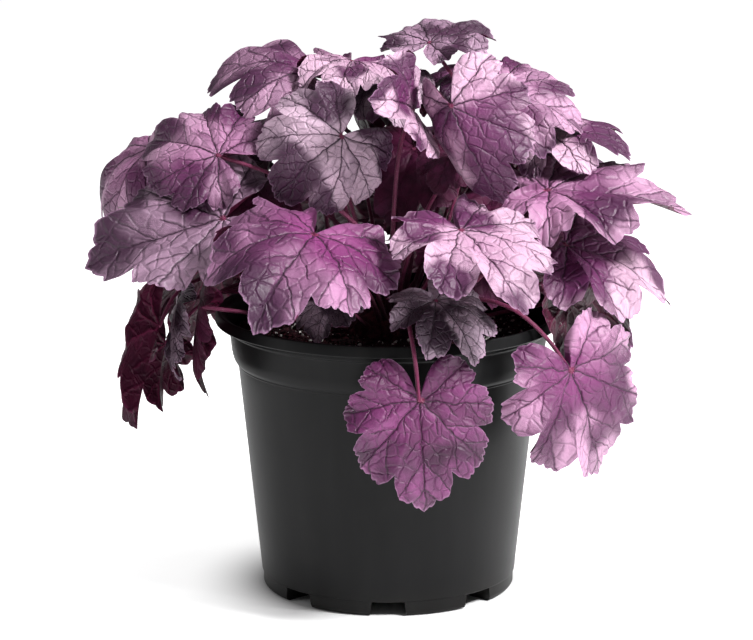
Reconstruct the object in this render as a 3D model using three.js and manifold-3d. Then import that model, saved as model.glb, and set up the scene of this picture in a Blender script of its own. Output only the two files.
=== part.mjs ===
// A heuchera (coral bells) in a 3 litre nursery pot: pot, soil, crown and one solid for each leaf.
// Millimetres, +Z up. The origin is the centre of the pot's base, on the ground; -Y is the plant's front.

import * as THREE from "three";
import { mergeVertices } from "three/addons/utils/BufferGeometryUtils.js";
import Module from "manifold-3d";

const wasm = await Module();
wasm.setup();

// ---------------------------------------------------------------- driving dimensions

const RIM_RADIUS = 95;
const POT_HEIGHT = 155;
const RIM_BAND = 6.5;
const COLLAR_TOP_RADIUS = 87.2;
const COLLAR_FOOT_RADIUS = 85.8;
const COLLAR_FOOT_HEIGHT = 132;
const STEP_HEIGHT = 125;
const WALL_TOP_RADIUS = 82.4;
const WALL_FOOT_RADIUS = 70.1;
const FOOT_HEIGHT = 8.5;
const FOOT_RADIUS = 69.6;
const BASE_RADIUS = 67;
const FOOT_BEVEL = 0.8;
const WALL = 1.5;
const FLOOR = 1.6;
const POT_SEGMENTS = 32;

const DRAIN_CHANNELS = 8;
const CHANNEL_WIDTH = 20;
const CHANNEL_TAPER = 1.2;
const CHANNEL_HEIGHT = 8;
const CHANNEL_INNER_RADIUS = 40;
const DRAIN_HOLE_RADIUS = 4.5;
const DRAIN_HOLE_CENTRE = 52;

const SOIL_HEIGHT = 141.5;
const SOIL_GAP = 0.3;
const SOIL_RELIEF = 0.5;

const CROWN_HEIGHT = 140;
const CROWN_RADIUS = 26;
const CROWN_RISE = 20;
const CROWN_GAP = 0.3;
const CROWN_SEGMENTS = 18;

const BLADE_THICKNESS = 0.8;
const STALK_RADIUS = 1.3;
const STALK_SIDES = 5;
const STALK_STEPS = 5;
const CURVE_DIVISIONS = 40;

// How far a stalk's centre line keeps from blades, other stalks and the pot, and how finely that is tested.
const CLEAR_OF_BLADE = 2.9;
const CLEAR_OF_STALK = 3.1;
const CLEAR_OF_POT = 2.5;
const CLOUD_STEP = 2;
const SAMPLES_A_STEP = 8;
const CELLS_ACROSS = 1024;

// The limits and spreads in degrees and millimetres from which a stalk's route is drawn.
const ENTRY = [14, 88];
const FOOT_ELEVATION = [14, 86];
const HANDLE = [9, 92];
const ACROSS = [-60, 60];
const AZIMUTH_SPREAD = 60;
const ACROSS_SPREAD = 28;
const ROUTE_STEP = 14;
const FINE_SHARE = 0.2;

// How long routes are looked for, and what an awkward one costs against a crowded one.
const ROUTE_SEED = 7;
const ROUTE_ROUNDS = 10;
const EVERY_LEAF_ROUNDS = 2;
const FRESH_ROUTES = 200;
const KEPT_ROUTES = 4;
const REFINED_ROUTES = 80;
const CROWDING_COST = 10;
const SLIGHT_CROWDING = 0.02;
const BEND_COST = 60;
const EASY_BEND = 0.35;
const LENGTH_COST = 30;

// Points closer than this to the line or plane of their neighbours are dropped.
const SMALLEST_STEP = 0.05;

// The blade's outline: seven lobes, at these angles from the tip and with these lengths.
const LOBE_ANGLES = [-126, -84, -44, 0, 44, 84, 126];
const LOBE_LENGTHS = [0.60, 0.74, 0.86, 1, 0.86, 0.74, 0.60];
const HEART_ANGLE = 162;
const HEART_LENGTH = 0.16;
const LOBE_CUT = 0.19;
const LOBE_SQUARENESS = 4;
const TOOTH = 0.045;
const TOOTH_DENT = 0.36;
const TOOTH_TIP = 0.68;
const QUILTING = 0.10;
const RUFFLE = 0.05;
const RUFFLE_WAVES = 7;
const MID_RING = 0.52;

// The outline's points across each lobe, from one sinus (-1) to the next: with side teeth, and plain.
const TOOTHED_LOBE = [-1, -TOOTH_TIP, -TOOTH_DENT, 0, TOOTH_DENT, TOOTH_TIP];
const PLAIN_LOBE = [-1, -0.5, 0, 0.5];

// ---------------------------------------------------------------- the leaves

// Each leaf: at = where the stalk meets the blade; turn = heading of the tip (0 is +X, 90 is the back),
// its pitch and the roll about it; length = stalk to tip; droop = how far the tip, the sides and the basal
// lobes bend down, and how much more the left side does; fold = how the blade is creased up along its midrib;
// entry = the limits of the angle below the blade at which its stalk comes in; plain = without side teeth.
const LEAVES = {
  top_1: {
    at: [22, 29, 297], turn: [56, 30, 3], length: 44,
    droop: [45, 30, -60, 0],
  },
  top_2: {
    at: [-20, 8, 290], turn: [-100, 2, -6], length: 40,
    droop: [45, 25, 20, 0], ruffle: 0.09,
  },
  top_3: {
    at: [-41, 13, 281], turn: [-168, 36, -22], length: 60,
    droop: [85, 40, 18, -15],
  },
  top_4: {
    at: [13, -33, 270], turn: [-104, 22, -71], length: 44,
    droop: [30, -6, 14, 0], fold: 17, side: 0.94,
  },
  top_5: {
    at: [33, -55, 276], turn: [-37, -64, 70], length: 59,
    droop: [39, 48, 30, 52], fold: -15, side: 0.91,
  },
  top_6: {
    at: [-25, -44, 258], turn: [-147, -33, -60], length: 49,
    droop: [60, 30, 22, -12], fold: 0, side: 1.1,
  },
  top_7: {
    at: [60, 6, 274], turn: [-17, -5, 31], length: 50,
    droop: [45, 30, 20, 0],
  },
  top_8: {
    at: [-31, 54, 264], turn: [93, -6, 14], length: 54,
    droop: [50, 28, 20, 0], plain: true,
  },
  top_9: {
    at: [45, 54, 264], turn: [28, -7, -15], length: 50,
    droop: [44, 34, 20, 0],
  },
  upper_1: {
    at: [-91, -31, 245], turn: [156, 17, -51], length: 56,
    droop: [45, 28, 20, 10], side: 0.84,
  },
  upper_2: {
    at: [-80, 35, 239], turn: [168, -16, 3], length: 54,
    droop: [45, 30, 20, 0],
  },
  upper_3: {
    at: [85, 20, 249], turn: [-28, 17, 13], length: 50,
    droop: [56, 30, 20, 0],
  },
  upper_4: {
    at: [86, -18, 224], turn: [-7, 1, 16], length: 75,
    droop: [12, 22, 16, 8], side: 0.78,
  },
  upper_5: {
    at: [-55, 62, 248], turn: [157, -10, 14], length: 62,
    droop: [50, 26, 20, 0], plain: true,
  },
  upper_6: {
    at: [3, 86, 236], turn: [104, -13, -6], length: 66,
    droop: [42, 30, 20, 0], side: 0.95, plain: true,
  },
  upper_7: {
    at: [80, 60, 236], turn: [25, -10, -7], length: 60,
    droop: [50, 28, 20, 0], plain: true,
  },
  middle_1: {
    at: [-88, -47, 214], turn: [-178, -17, -37], length: 76,
    droop: [0, 8, 0, 5], fold: 12, side: 0.85,
  },
  middle_2: {
    at: [-39, -79, 212], turn: [-108, -6, -18], length: 72,
    droop: [46, 34, -10, 12], side: 0.97,
  },
  middle_3: {
    at: [38, -74, 213], turn: [-55, -20, 2], length: 62,
    droop: [20, 18, 3, 0], fold: 10, side: 0.97,
  },
  middle_4: {
    at: [96, -10, 193], turn: [-4, -13, 23], length: 68,
    droop: [34, 28, 18, 0], side: 0.86,
  },
  middle_5: {
    at: [-130, 8, 241], turn: [175, -14, -25], length: 54,
    droop: [80, 50, 20, 0],
  },
  middle_6: {
    at: [-93, 58, 210], turn: [153, -23, -21], length: 56,
    droop: [40, 34, 20, 0], plain: true,
  },
  middle_7: {
    at: [-36, 104, 205], turn: [102, -27, 8], length: 66,
    droop: [46, 26, 20, 0], plain: true,
  },
  middle_8: {
    at: [37, 94, 202], turn: [74, -23, -16], length: 62,
    droop: [52, 30, 20, 0], plain: true,
  },
  middle_9: {
    at: [97, 50, 204], turn: [20, -24, 26], length: 64,
    droop: [42, 32, 20, 0], side: 0.92, plain: true,
  },
  lower_1: {
    at: [25, -74, 175], turn: [-47, -24, 4], length: 40,
    droop: [36, 16, 20, 0], side: 1.05,
  },
  lower_2: {
    at: [-114, -18, 160], turn: [-167, -76, 7], length: 40,
    droop: [20, 30, 20, 0],
  },
  lower_3: {
    at: [-123, -40, 154], turn: [-115, -52, 79], length: 59,
    droop: [2, 49, 33, -21], fold: 34, side: 0.9, entry: [-70, 12], ruffle: 0.02,
  },
  lower_4: {
    at: [-101, -38, 164], turn: [165, -80, -14], length: 50,
    droop: [20, 50, 20, 0], side: 0.85, ruffle: 0.02,
  },
  lower_5: {
    at: [96, -26, 164], turn: [-4, -61, -156], length: 44,
    droop: [-30, 30, 20, 0], side: 1, entry: [-70, 12], ruffle: 0.02,
  },
  lower_6: {
    at: [-123, 8, 133], turn: [-143, -70, 74], length: 37,
    droop: [25, 43, 18, 0], fold: 22, side: 0.95, ruffle: 0.02,
  },
  lower_7: {
    at: [-98, 60, 166], turn: [138, -47, 14], length: 52,
    droop: [36, 34, 20, 0], plain: true,
  },
  lower_8: {
    at: [-44, 104, 171], turn: [113, -41, -9], length: 60,
    droop: [44, 28, 20, 0], plain: true,
  },
  lower_9: {
    at: [33, 109, 164], turn: [74, -51, 3], length: 56,
    droop: [36, 32, 20, 0], plain: true,
  },
  lower_10: {
    at: [102, 54, 161], turn: [27, -39, -7], length: 60,
    droop: [42, 28, 20, 0], plain: true,
  },
  hanging_1: {
    at: [16, -106, 129], turn: [-75, -76, 11], length: 57,
    droop: [16, 20, 14, 0], fold: 5, side: 0.92, entry: [5, 88],
  },
  hanging_2: {
    at: [97, -56, 133], turn: [28, -67, 83], length: 66,
    droop: [12, 22, 12, 0], side: 0.9, entry: [5, 88],
  },
  hanging_3: {
    at: [-14, 112, 126], turn: [99, -74, 6], length: 56,
    droop: [14, 22, 10, 0], plain: true, entry: [5, 88],
  },
  young_1: {
    at: [-30, -50, 172], turn: [-117, -27, 5], length: 28,
    droop: [30, 25, 20, 0], plain: true,
  },
  young_2: {
    at: [34, -17, 244], turn: [-124, -43, -23], length: 24,
    droop: [20, 20, 20, 0], plain: true,
  },
  inner_1: {
    at: [14, 12, 241], turn: [-115, -39, -6], length: 46,
    droop: [35, 25, 20, 0], plain: true,
  },
  inner_2: {
    at: [65, -1, 220], turn: [-48, -23, 17], length: 42,
    droop: [30, 30, 20, 0], plain: true,
  },
  inner_3: {
    at: [-65, -15, 231], turn: [-119, -30, 5], length: 42,
    droop: [35, 30, 20, 0], plain: true,
  },
  inner_4: {
    at: [-14, 37, 230], turn: [103, 2, 10], length: 38,
    droop: [35, 30, 20, 0], plain: true,
  },
  inner_5: {
    at: [34, 45, 234], turn: [39, -30, -21], length: 44,
    droop: [35, 30, 20, 0], plain: true,
  },
  top_10: {
    at: [-1, 24, 280], turn: [-84, -14, 5], length: 36,
    droop: [45, 30, 20, 0], plain: true, ruffle: 0.08,
  },
  top_11: {
    at: [41, 46, 280], turn: [-60, 1, 12], length: 40,
    droop: [45, 30, 20, 0], plain: true,
  },
  middle_10: {
    at: [-95, 6, 212], turn: [-168, -34, -11], length: 48,
    droop: [40, 30, 20, 0], plain: true,
  },
  inner_6: {
    at: [43, -14, 197], turn: [-65, -29, 4], length: 42,
    droop: [35, 25, 20, 0], plain: true,
  },
  inner_7: {
    at: [-40, -22, 196], turn: [-121, -25, 1], length: 42,
    droop: [35, 25, 20, 0], plain: true,
  },
};

// ---------------------------------------------------------------- helpers

const radians = THREE.MathUtils.degToRad;
const clamp = THREE.MathUtils.clamp;

function toSolid(geometry) {
  const bare = new THREE.BufferGeometry();
  bare.setAttribute("position", geometry.getAttribute("position").clone());
  bare.setIndex(geometry.getIndex());
  const merged = mergeVertices(bare, 1e-4);
  const mesh = new wasm.Mesh({
    numProp: 3,
    vertProperties: new Float32Array(merged.getAttribute("position").array),
    triVerts: new Uint32Array(merged.getIndex().array),
  });
  return new wasm.Manifold(mesh);
}

function toGeometry(manifold) {
  const mesh = manifold.simplify(SMALLEST_STEP).getMesh();
  const geometry = new THREE.BufferGeometry();
  geometry.setAttribute("position", new THREE.BufferAttribute(new Float32Array(mesh.vertProperties), 3));
  geometry.setIndex(new THREE.BufferAttribute(new Uint32Array(mesh.triVerts), 1));
  geometry.computeVertexNormals();
  return geometry;
}

function lathe(profile, segments) {
  const points = profile.map(([radius, height]) => new THREE.Vector2(radius, height));
  const geometry = new THREE.LatheGeometry(points, segments);
  geometry.rotateX(Math.PI / 2);
  return geometry;
}

function named(name, geometry, material) {
  const mesh = new THREE.Mesh(geometry, material);
  mesh.name = name;
  return mesh;
}

// ---------------------------------------------------------------- pot

function wallRadius(height) {
  const share = (height - FOOT_HEIGHT) / (STEP_HEIGHT - FOOT_HEIGHT);
  return WALL_FOOT_RADIUS + (WALL_TOP_RADIUS - WALL_FOOT_RADIUS) * share;
}

function footProfile() {
  return [
    [0, 0],
    [BASE_RADIUS, 0],
    [FOOT_RADIUS - FOOT_BEVEL, FOOT_BEVEL],
    [FOOT_RADIUS, 3 * FOOT_BEVEL],
    [FOOT_RADIUS, FOOT_HEIGHT - 0.4],
    [WALL_FOOT_RADIUS, FOOT_HEIGHT],
  ];
}

function potProfile() {
  const bandFoot = POT_HEIGHT - RIM_BAND;
  return [
    ...footProfile(),
    [WALL_TOP_RADIUS, STEP_HEIGHT],
    [COLLAR_FOOT_RADIUS - 1.2, STEP_HEIGHT + 3],
    [COLLAR_FOOT_RADIUS, COLLAR_FOOT_HEIGHT],
    [COLLAR_TOP_RADIUS, bandFoot - 4],
    [COLLAR_TOP_RADIUS + 1.6, bandFoot - 3],
    [COLLAR_TOP_RADIUS + 1.6, bandFoot - 0.8],
    [RIM_RADIUS - 0.3, bandFoot],
    [RIM_RADIUS, bandFoot + 0.8],
    [RIM_RADIUS - 1.4, POT_HEIGHT],
    [RIM_RADIUS - 3.8, POT_HEIGHT],
    [COLLAR_TOP_RADIUS - WALL, bandFoot - 4],
    [COLLAR_FOOT_RADIUS - WALL, COLLAR_FOOT_HEIGHT],
    [WALL_TOP_RADIUS - WALL, STEP_HEIGHT],
    [wallRadius(FLOOR + 2) - WALL - 0.4, FLOOR + 2],
    [BASE_RADIUS, FLOOR],
    [0, FLOOR],
  ];
}

// A bar with a trapezium section that runs outward along the floor: a drain channel, or the hump over it.
function channelBar(height, halfWidth, from, to, below) {
  const outline = new THREE.Shape();
  const taper = halfWidth - CHANNEL_TAPER;
  outline.moveTo(-halfWidth, -below);
  outline.lineTo(halfWidth, -below);
  outline.lineTo(taper, height);
  outline.lineTo(-taper, height);
  outline.closePath();
  const bar = new THREE.ExtrudeGeometry(outline, { depth: to - from, bevelEnabled: false });
  bar.translate(0, 0, from);
  bar.rotateX(Math.PI / 2);
  return bar;
}

function around(geometry, index) {
  const copy = geometry.clone();
  copy.rotateZ((index * 2 * Math.PI) / DRAIN_CHANNELS);
  return toSolid(copy);
}

function humps(grown) {
  const half = CHANNEL_WIDTH / 2 + WALL + grown;
  const top = CHANNEL_HEIGHT + WALL + grown;
  const inner = CHANNEL_INNER_RADIUS - WALL - grown;
  return channelBar(top, half, inner, FOOT_RADIUS - WALL / 2, -FLOOR / 2);
}

function buildPot() {
  let pot = toSolid(lathe(potProfile(), POT_SEGMENTS));
  const block = [...footProfile(), [WALL_FOOT_RADIUS, STEP_HEIGHT], [0, STEP_HEIGHT]];
  const filled = toSolid(lathe(block, POT_SEGMENTS));
  const hump = humps(0);
  const channel = channelBar(CHANNEL_HEIGHT, CHANNEL_WIDTH / 2, CHANNEL_INNER_RADIUS, RIM_RADIUS, 1);
  const hole = new THREE.CylinderGeometry(DRAIN_HOLE_RADIUS, DRAIN_HOLE_RADIUS, CHANNEL_HEIGHT, 8);
  hole.rotateX(Math.PI / 2);
  hole.translate(0, -DRAIN_HOLE_CENTRE, CHANNEL_HEIGHT);
  for (let index = 0; index < DRAIN_CHANNELS; index += 1) {
    pot = pot.add(around(hump, index).intersect(filled));
  }
  for (let index = 0; index < DRAIN_CHANNELS; index += 1) {
    pot = pot.subtract(around(channel, index));
    pot = pot.subtract(around(hole, index));
  }
  return toGeometry(pot);
}

// ---------------------------------------------------------------- soil and crown

function crownGeometry(grown) {
  const ball = new THREE.SphereGeometry(1, CROWN_SEGMENTS, CROWN_SEGMENTS / 2);
  ball.rotateX(Math.PI / 2);
  ball.scale(CROWN_RADIUS + grown, CROWN_RADIUS + grown, CROWN_RISE + grown);
  ball.translate(0, 0, CROWN_HEIGHT);
  return ball;
}

function soilRelief(x, y) {
  const coarse = Math.sin(x * 0.21 + 1.3) * Math.sin(y * 0.19 + 0.4);
  const fine = Math.sin(x * 0.47 + y * 0.39);
  return SOIL_RELIEF * (coarse + 0.6 * fine);
}

function buildSoil() {
  const edge = COLLAR_TOP_RADIUS - WALL - SOIL_GAP - 0.5;
  const profile = [
    [0, FLOOR + SOIL_GAP],
    [BASE_RADIUS - 1, FLOOR + SOIL_GAP],
    [wallRadius(FLOOR + 3) - WALL - SOIL_GAP - 1, FLOOR + 3],
    [WALL_TOP_RADIUS - WALL - SOIL_GAP - 0.1, STEP_HEIGHT],
    [COLLAR_FOOT_RADIUS - WALL - SOIL_GAP - 0.1, COLLAR_FOOT_HEIGHT + 0.2],
    [edge, SOIL_HEIGHT - 0.6],
    [edge * 0.8, SOIL_HEIGHT],
    [edge * 0.56, SOIL_HEIGHT],
    [CROWN_RADIUS + 3, SOIL_HEIGHT - 0.4],
    [0, SOIL_HEIGHT - 0.4],
  ];
  const body = lathe(profile, POT_SEGMENTS);
  const place = body.getAttribute("position");
  for (let index = 0; index < place.count; index += 1) {
    const x = place.getX(index);
    const y = place.getY(index);
    const z = place.getZ(index);
    const radius = Math.hypot(x, y);
    const free = z > COLLAR_FOOT_HEIGHT + 1 && radius > 1 && radius < edge - 1;
    if (free) {
      place.setZ(index, z + soilRelief(x, y));
    }
  }
  let soil = toSolid(body);
  const hump = humps(SOIL_GAP);
  for (let index = 0; index < DRAIN_CHANNELS; index += 1) {
    soil = soil.subtract(around(hump, index));
  }
  soil = soil.subtract(toSolid(crownGeometry(CROWN_GAP)));
  return toGeometry(soil);
}

// ---------------------------------------------------------------- leaf blade

function halfwayLines() {
  const between = [-HEART_ANGLE];
  for (let index = 1; index < LOBE_ANGLES.length; index += 1) {
    between.push((LOBE_ANGLES[index - 1] + LOBE_ANGLES[index]) / 2);
  }
  between.push(HEART_ANGLE);
  return between;
}

const SINUSES = halfwayLines();

// The reach of the outline at an angle, as a share of the length, and how far across its lobe that angle is.
function outlineAt(angle, side) {
  let lobe = 0;
  while (lobe < LOBE_ANGLES.length - 1 && angle > SINUSES[lobe + 1]) {
    lobe += 1;
  }
  const middle = LOBE_ANGLES[lobe];
  const near = angle < middle;
  const half = near ? middle - SINUSES[lobe] : SINUSES[lobe + 1] - middle;
  const across = (angle - middle) / half;
  const spread = Math.abs(across);

  const lengths = LOBE_LENGTHS.map((length, index) => (LOBE_ANGLES[index] === 0 ? 1 : length * side));
  const other = clamp(near ? lobe - 1 : lobe + 1, 0, LOBE_ANGLES.length - 1);
  const gap = LOBE_ANGLES[other] - middle;
  const share = gap === 0 ? 0 : (angle - middle) / gap;
  const envelope = lengths[lobe] + (lengths[other] - lengths[lobe]) * share;

  const basal = (lobe === 0 && near) || (lobe === LOBE_ANGLES.length - 1 && !near);
  const roundOff = Math.sqrt(Math.max(0, 1 - spread ** 2.2));
  const heartShape = HEART_LENGTH + (1 - HEART_LENGTH) * roundOff;
  const lobeShape = basal ? heartShape : 1 - LOBE_CUT * spread ** LOBE_SQUARENESS;
  const tooth = spread < TOOTH_DENT ? spread / TOOTH_DENT : Math.abs((spread - TOOTH_TIP) / (1 - TOOTH_TIP));
  const toothed = 1 + TOOTH * (0.5 - tooth ** 1.5);
  return { reach: envelope * lobeShape * toothed, spread };
}

// A point of the blade's middle surface: out from the stalk by a distance, at an angle from the tip.
function bladePoint(distance, angle, leaf) {
  const [tipDroop, sideDroop, baseDroop, leftDroop] = leaf.droop.map(radians);
  const theta = radians(angle);
  const sine = Math.sin(theta);
  const cosine = Math.cos(theta);
  const { reach, spread } = outlineAt(angle, leaf.side);
  const forward = (0.5 + 0.5 * cosine) ** 1.5;
  const backward = (0.5 - 0.5 * cosine) ** 1.5;
  const bend = tipDroop * forward + sideDroop * sine ** 2 + baseDroop * backward + leftDroop * sine;
  const rise = radians(leaf.fold) * Math.abs(sine);
  const turned = (bend * distance) / leaf.length;

  let outward = distance * Math.cos(rise);
  let height = distance * Math.sin(rise);
  if (Math.abs(turned) > 1e-6) {
    outward = (distance * (Math.sin(rise) - Math.sin(rise - turned))) / turned;
    height = (distance * (Math.cos(rise - turned) - Math.cos(rise))) / turned;
  }
  const edge = clamp(distance / (reach * leaf.length), 0, 1.3);
  height += QUILTING * distance * (spread ** 1.5 - 0.35) * Math.min(1, edge * 1.5) * edge;
  height += leaf.ruffle * leaf.length * edge ** 3 * Math.sin(RUFFLE_WAVES * theta);
  return new THREE.Vector3(outward * sine, outward * cosine, height);
}

function outlineAngles(shares) {
  const angles = [];
  LOBE_ANGLES.forEach((middle, lobe) => {
    const before = middle - SINUSES[lobe];
    const after = SINUSES[lobe + 1] - middle;
    for (const share of shares) {
      angles.push(middle + share * (share < 0 ? before : after));
    }
  });
  angles.push(HEART_ANGLE);
  return angles;
}

// The blade as rings of points: the stalk's end, a middle ring with a point for each lobe and one for each
// side of the heart-shaped notch, and the outline.
function bladeSurface(leaf) {
  const shares = leaf.plain ? PLAIN_LOBE : TOOTHED_LOBE;
  const outline = outlineAngles(shares);
  const spokes = [0];
  LOBE_ANGLES.forEach((angle, lobe) => spokes.push(shares.length * (lobe + 0.5)));
  spokes.push(outline.length - 1);

  const points = [new THREE.Vector3()];
  for (const spoke of spokes) {
    const reach = outlineAt(outline[spoke], leaf.side).reach * leaf.length;
    points.push(bladePoint(reach * MID_RING, outline[spoke], leaf));
  }
  const firstOuter = points.length;
  for (const angle of outline) {
    const reach = outlineAt(angle, leaf.side).reach * leaf.length;
    points.push(bladePoint(reach, angle, leaf));
  }

  const faces = [];
  const sectors = spokes.length - 1;
  for (let sector = 0; sector < sectors; sector += 1) {
    const near = 1 + sector;
    const far = near + 1;
    const from = firstOuter + spokes[sector];
    const to = firstOuter + spokes[sector + 1];
    let sinus = Math.floor((from + to) / 2);
    if (sector === 0) {
      sinus = from;
    } else if (sector === sectors - 1) {
      sinus = to;
    }
    faces.push([0, far, near]);
    faces.push([near, far, sinus]);
    for (let point = from; point < sinus; point += 1) {
      faces.push([near, point + 1, point]);
    }
    for (let point = sinus; point < to; point += 1) {
      faces.push([far, point + 1, point]);
    }
  }
  const rim = [0, 1];
  for (let point = firstOuter; point < points.length; point += 1) {
    rim.push(point);
  }
  rim.push(spokes.length);
  return { points, faces, rim };
}

function surfaceNormals(points, faces) {
  const normals = points.map(() => new THREE.Vector3());
  for (const [a, b, c] of faces) {
    const along = points[b].clone().sub(points[a]);
    const across = points[c].clone().sub(points[a]);
    const normal = along.cross(across);
    normals[a].add(normal);
    normals[b].add(normal);
    normals[c].add(normal);
  }
  return normals.map((normal) => normal.normalize());
}

// The closed blade: the surface moved up and down by half its thickness, joined round the edge.
function bladeGeometry(leaf) {
  const { points, faces, rim } = bladeSurface(leaf);
  const normals = surfaceNormals(points, faces);
  const place = [];
  for (const offset of [BLADE_THICKNESS / 2, -BLADE_THICKNESS / 2]) {
    points.forEach((point, index) => {
      place.push(...point.clone().addScaledVector(normals[index], offset).toArray());
    });
  }
  const under = points.length;
  const triangles = [];
  for (const [a, b, c] of faces) {
    triangles.push(a, b, c);
    triangles.push(under + a, under + c, under + b);
  }
  rim.forEach((from, index) => {
    const to = rim[(index + 1) % rim.length];
    triangles.push(from, to, under + to);
    triangles.push(from, under + to, under + from);
  });
  const geometry = new THREE.BufferGeometry();
  geometry.setAttribute("position", new THREE.Float32BufferAttribute(place, 3));
  geometry.setIndex(triangles);
  return geometry;
}

// ---------------------------------------------------------------- leaf stalk

// The foot of a stalk just off the crown's surface, and the direction in which it leaves.
function stalkFoot(azimuth, elevation) {
  const flat = Math.cos(radians(elevation));
  const direction = new THREE.Vector3(
    flat * Math.cos(radians(azimuth)),
    flat * Math.sin(radians(azimuth)),
    Math.sin(radians(elevation)),
  );
  const radii = new THREE.Vector3(CROWN_RADIUS, CROWN_RADIUS, CROWN_RISE);
  const normal = direction.clone().divide(radii).normalize();
  const foot = direction.clone().multiply(radii).add(new THREE.Vector3(0, 0, CROWN_HEIGHT));
  foot.addScaledVector(normal, CROWN_GAP);
  return { foot, normal };
}

// The curve from the crown to the blade that a route stands for.
function stalkCurve(leaf, route) {
  const { foot, normal } = stalkFoot(route.azimuth, route.elevation);
  const leave = foot.clone().addScaledVector(normal, route.rise);
  const flat = Math.cos(radians(route.below));
  const enter = new THREE.Vector3(
    flat * Math.sin(radians(route.across)),
    flat * Math.cos(radians(route.across)),
    Math.sin(radians(route.below)),
  );
  const arrive = enter.multiplyScalar(-route.reach).applyMatrix4(leaf.frame);
  const end = new THREE.Vector3().setFromMatrixPosition(leaf.frame);
  const curve = new THREE.CubicBezierCurve3(foot, leave, arrive, end);
  curve.arcLengthDivisions = CURVE_DIVISIONS;
  return curve;
}

function stalkGeometry(leaf) {
  const section = new THREE.Shape();
  for (let side = 0; side < STALK_SIDES; side += 1) {
    const angle = (side * 2 * Math.PI) / STALK_SIDES;
    const x = STALK_RADIUS * Math.cos(angle);
    const y = STALK_RADIUS * Math.sin(angle);
    if (side === 0) {
      section.moveTo(x, y);
    } else {
      section.lineTo(x, y);
    }
  }
  section.closePath();
  const extrudePath = stalkCurve(leaf, leaf.route);
  const stalk = new THREE.ExtrudeGeometry(section, { steps: STALK_STEPS, extrudePath, bevelEnabled: false });
  return stalk.applyMatrix4(leaf.frame.clone().invert());
}

// ---------------------------------------------------------------- routes of the stalks

// A route is drawn at random and drawn again until the stalk is clear of the blades, the other stalks and
// the pot. The draws are seeded, so each build finds the same routes.

const draw = THREE.MathUtils.seededRandom;

function within(limits) {
  return limits[0] + (limits[1] - limits[0]) * draw();
}

function scattered(value, spread, limits) {
  const moved = value + 2 * spread * (draw() + draw() + draw() - 1.5);
  return limits ? clamp(moved, ...limits) : moved;
}

function bearing(leaf) {
  return THREE.MathUtils.radToDeg(Math.atan2(leaf.at[1], leaf.at[0]));
}

function freshRoute(leaf) {
  return {
    azimuth: scattered(bearing(leaf), AZIMUTH_SPREAD),
    elevation: within(FOOT_ELEVATION),
    rise: within(HANDLE),
    reach: within(HANDLE),
    below: within(leaf.entry),
    across: scattered(0, ACROSS_SPREAD, ACROSS),
  };
}

function changedRoute(leaf, route, share) {
  return {
    azimuth: scattered(route.azimuth, ROUTE_STEP * share),
    elevation: scattered(route.elevation, ROUTE_STEP * share, FOOT_ELEVATION),
    rise: scattered(route.rise, ROUTE_STEP * share, HANDLE),
    reach: scattered(route.reach, ROUTE_STEP * share, HANDLE),
    below: scattered(route.below, ROUTE_STEP * share, leaf.entry),
    across: scattered(route.across, ROUTE_STEP * share, ACROSS),
  };
}

// Points all over a blade, close enough together that no stalk slips between them.
function bladeCloud(leaf) {
  const { points, faces } = bladeSurface(leaf);
  const placed = points.map((point) => point.applyMatrix4(leaf.frame));
  const cloud = [];
  for (const corners of faces) {
    const [a, b, c] = corners.map((corner) => placed[corner]);
    const ab = b.clone().sub(a);
    const ac = c.clone().sub(a);
    const longest = Math.max(ab.length(), ac.length(), b.distanceTo(c));
    const steps = Math.ceil(longest / CLOUD_STEP);
    for (let along = 0; along <= steps; along += 1) {
      for (let across = 0; across <= steps - along; across += 1) {
        cloud.push(a.clone().addScaledVector(ab, along / steps).addScaledVector(ac, across / steps));
      }
    }
  }
  return cloud;
}

function cellKey(column, row, layer) {
  return (column * CELLS_ACROSS + row) * CELLS_ACROSS + layer;
}

// The blades' points sorted into cells as wide as the clearance, so that near ones are found quickly.
function sortIntoCells(leaves) {
  const cells = new Map();
  for (const leaf of leaves) {
    for (const point of bladeCloud(leaf)) {
      const key = cellKey(...point.toArray().map((value) => Math.floor(value / CLEAR_OF_BLADE)));
      if (!cells.has(key)) {
        cells.set(key, []);
      }
      cells.get(key).push({ leaf, point });
    }
  }
  return cells;
}

function nearestBlade(point, cells, spared) {
  let nearest = CLEAR_OF_BLADE ** 2;
  const [column, row, layer] = point.toArray().map((value) => Math.floor(value / CLEAR_OF_BLADE));
  for (let i = column - 1; i <= column + 1; i += 1) {
    for (let j = row - 1; j <= row + 1; j += 1) {
      for (let k = layer - 1; k <= layer + 1; k += 1) {
        for (const found of cells.get(cellKey(i, j, k)) ?? []) {
          if (found.leaf !== spared) {
            nearest = Math.min(nearest, point.distanceToSquared(found.point));
          }
        }
      }
    }
  }
  return Math.sqrt(nearest);
}

// The least distance between two straight pieces, from a to b and from c to d.
function pieceDistance(a, b, c, d) {
  const first = b.clone().sub(a);
  const second = d.clone().sub(c);
  const apart = a.clone().sub(c);
  const firstSquare = first.lengthSq();
  const secondSquare = second.lengthSq();
  const product = first.dot(second);
  const firstApart = first.dot(apart);
  const secondApart = second.dot(apart);
  const slant = firstSquare * secondSquare - product ** 2;
  let s = slant > 1e-9 ? clamp((product * secondApart - firstApart * secondSquare) / slant, 0, 1) : 0;
  const t = clamp((product * s + secondApart) / secondSquare, 0, 1);
  s = clamp((product * t - firstApart) / firstSquare, 0, 1);
  return apart.addScaledVector(first, s).addScaledVector(second, -t).length();
}

function stalkDistance(path, other) {
  let nearest = Infinity;
  for (let i = 1; i < path.length; i += 1) {
    for (let j = 1; j < other.length; j += 1) {
      nearest = Math.min(nearest, pieceDistance(path[i - 1], path[i], other[j - 1], other[j]));
    }
  }
  return nearest;
}

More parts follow.
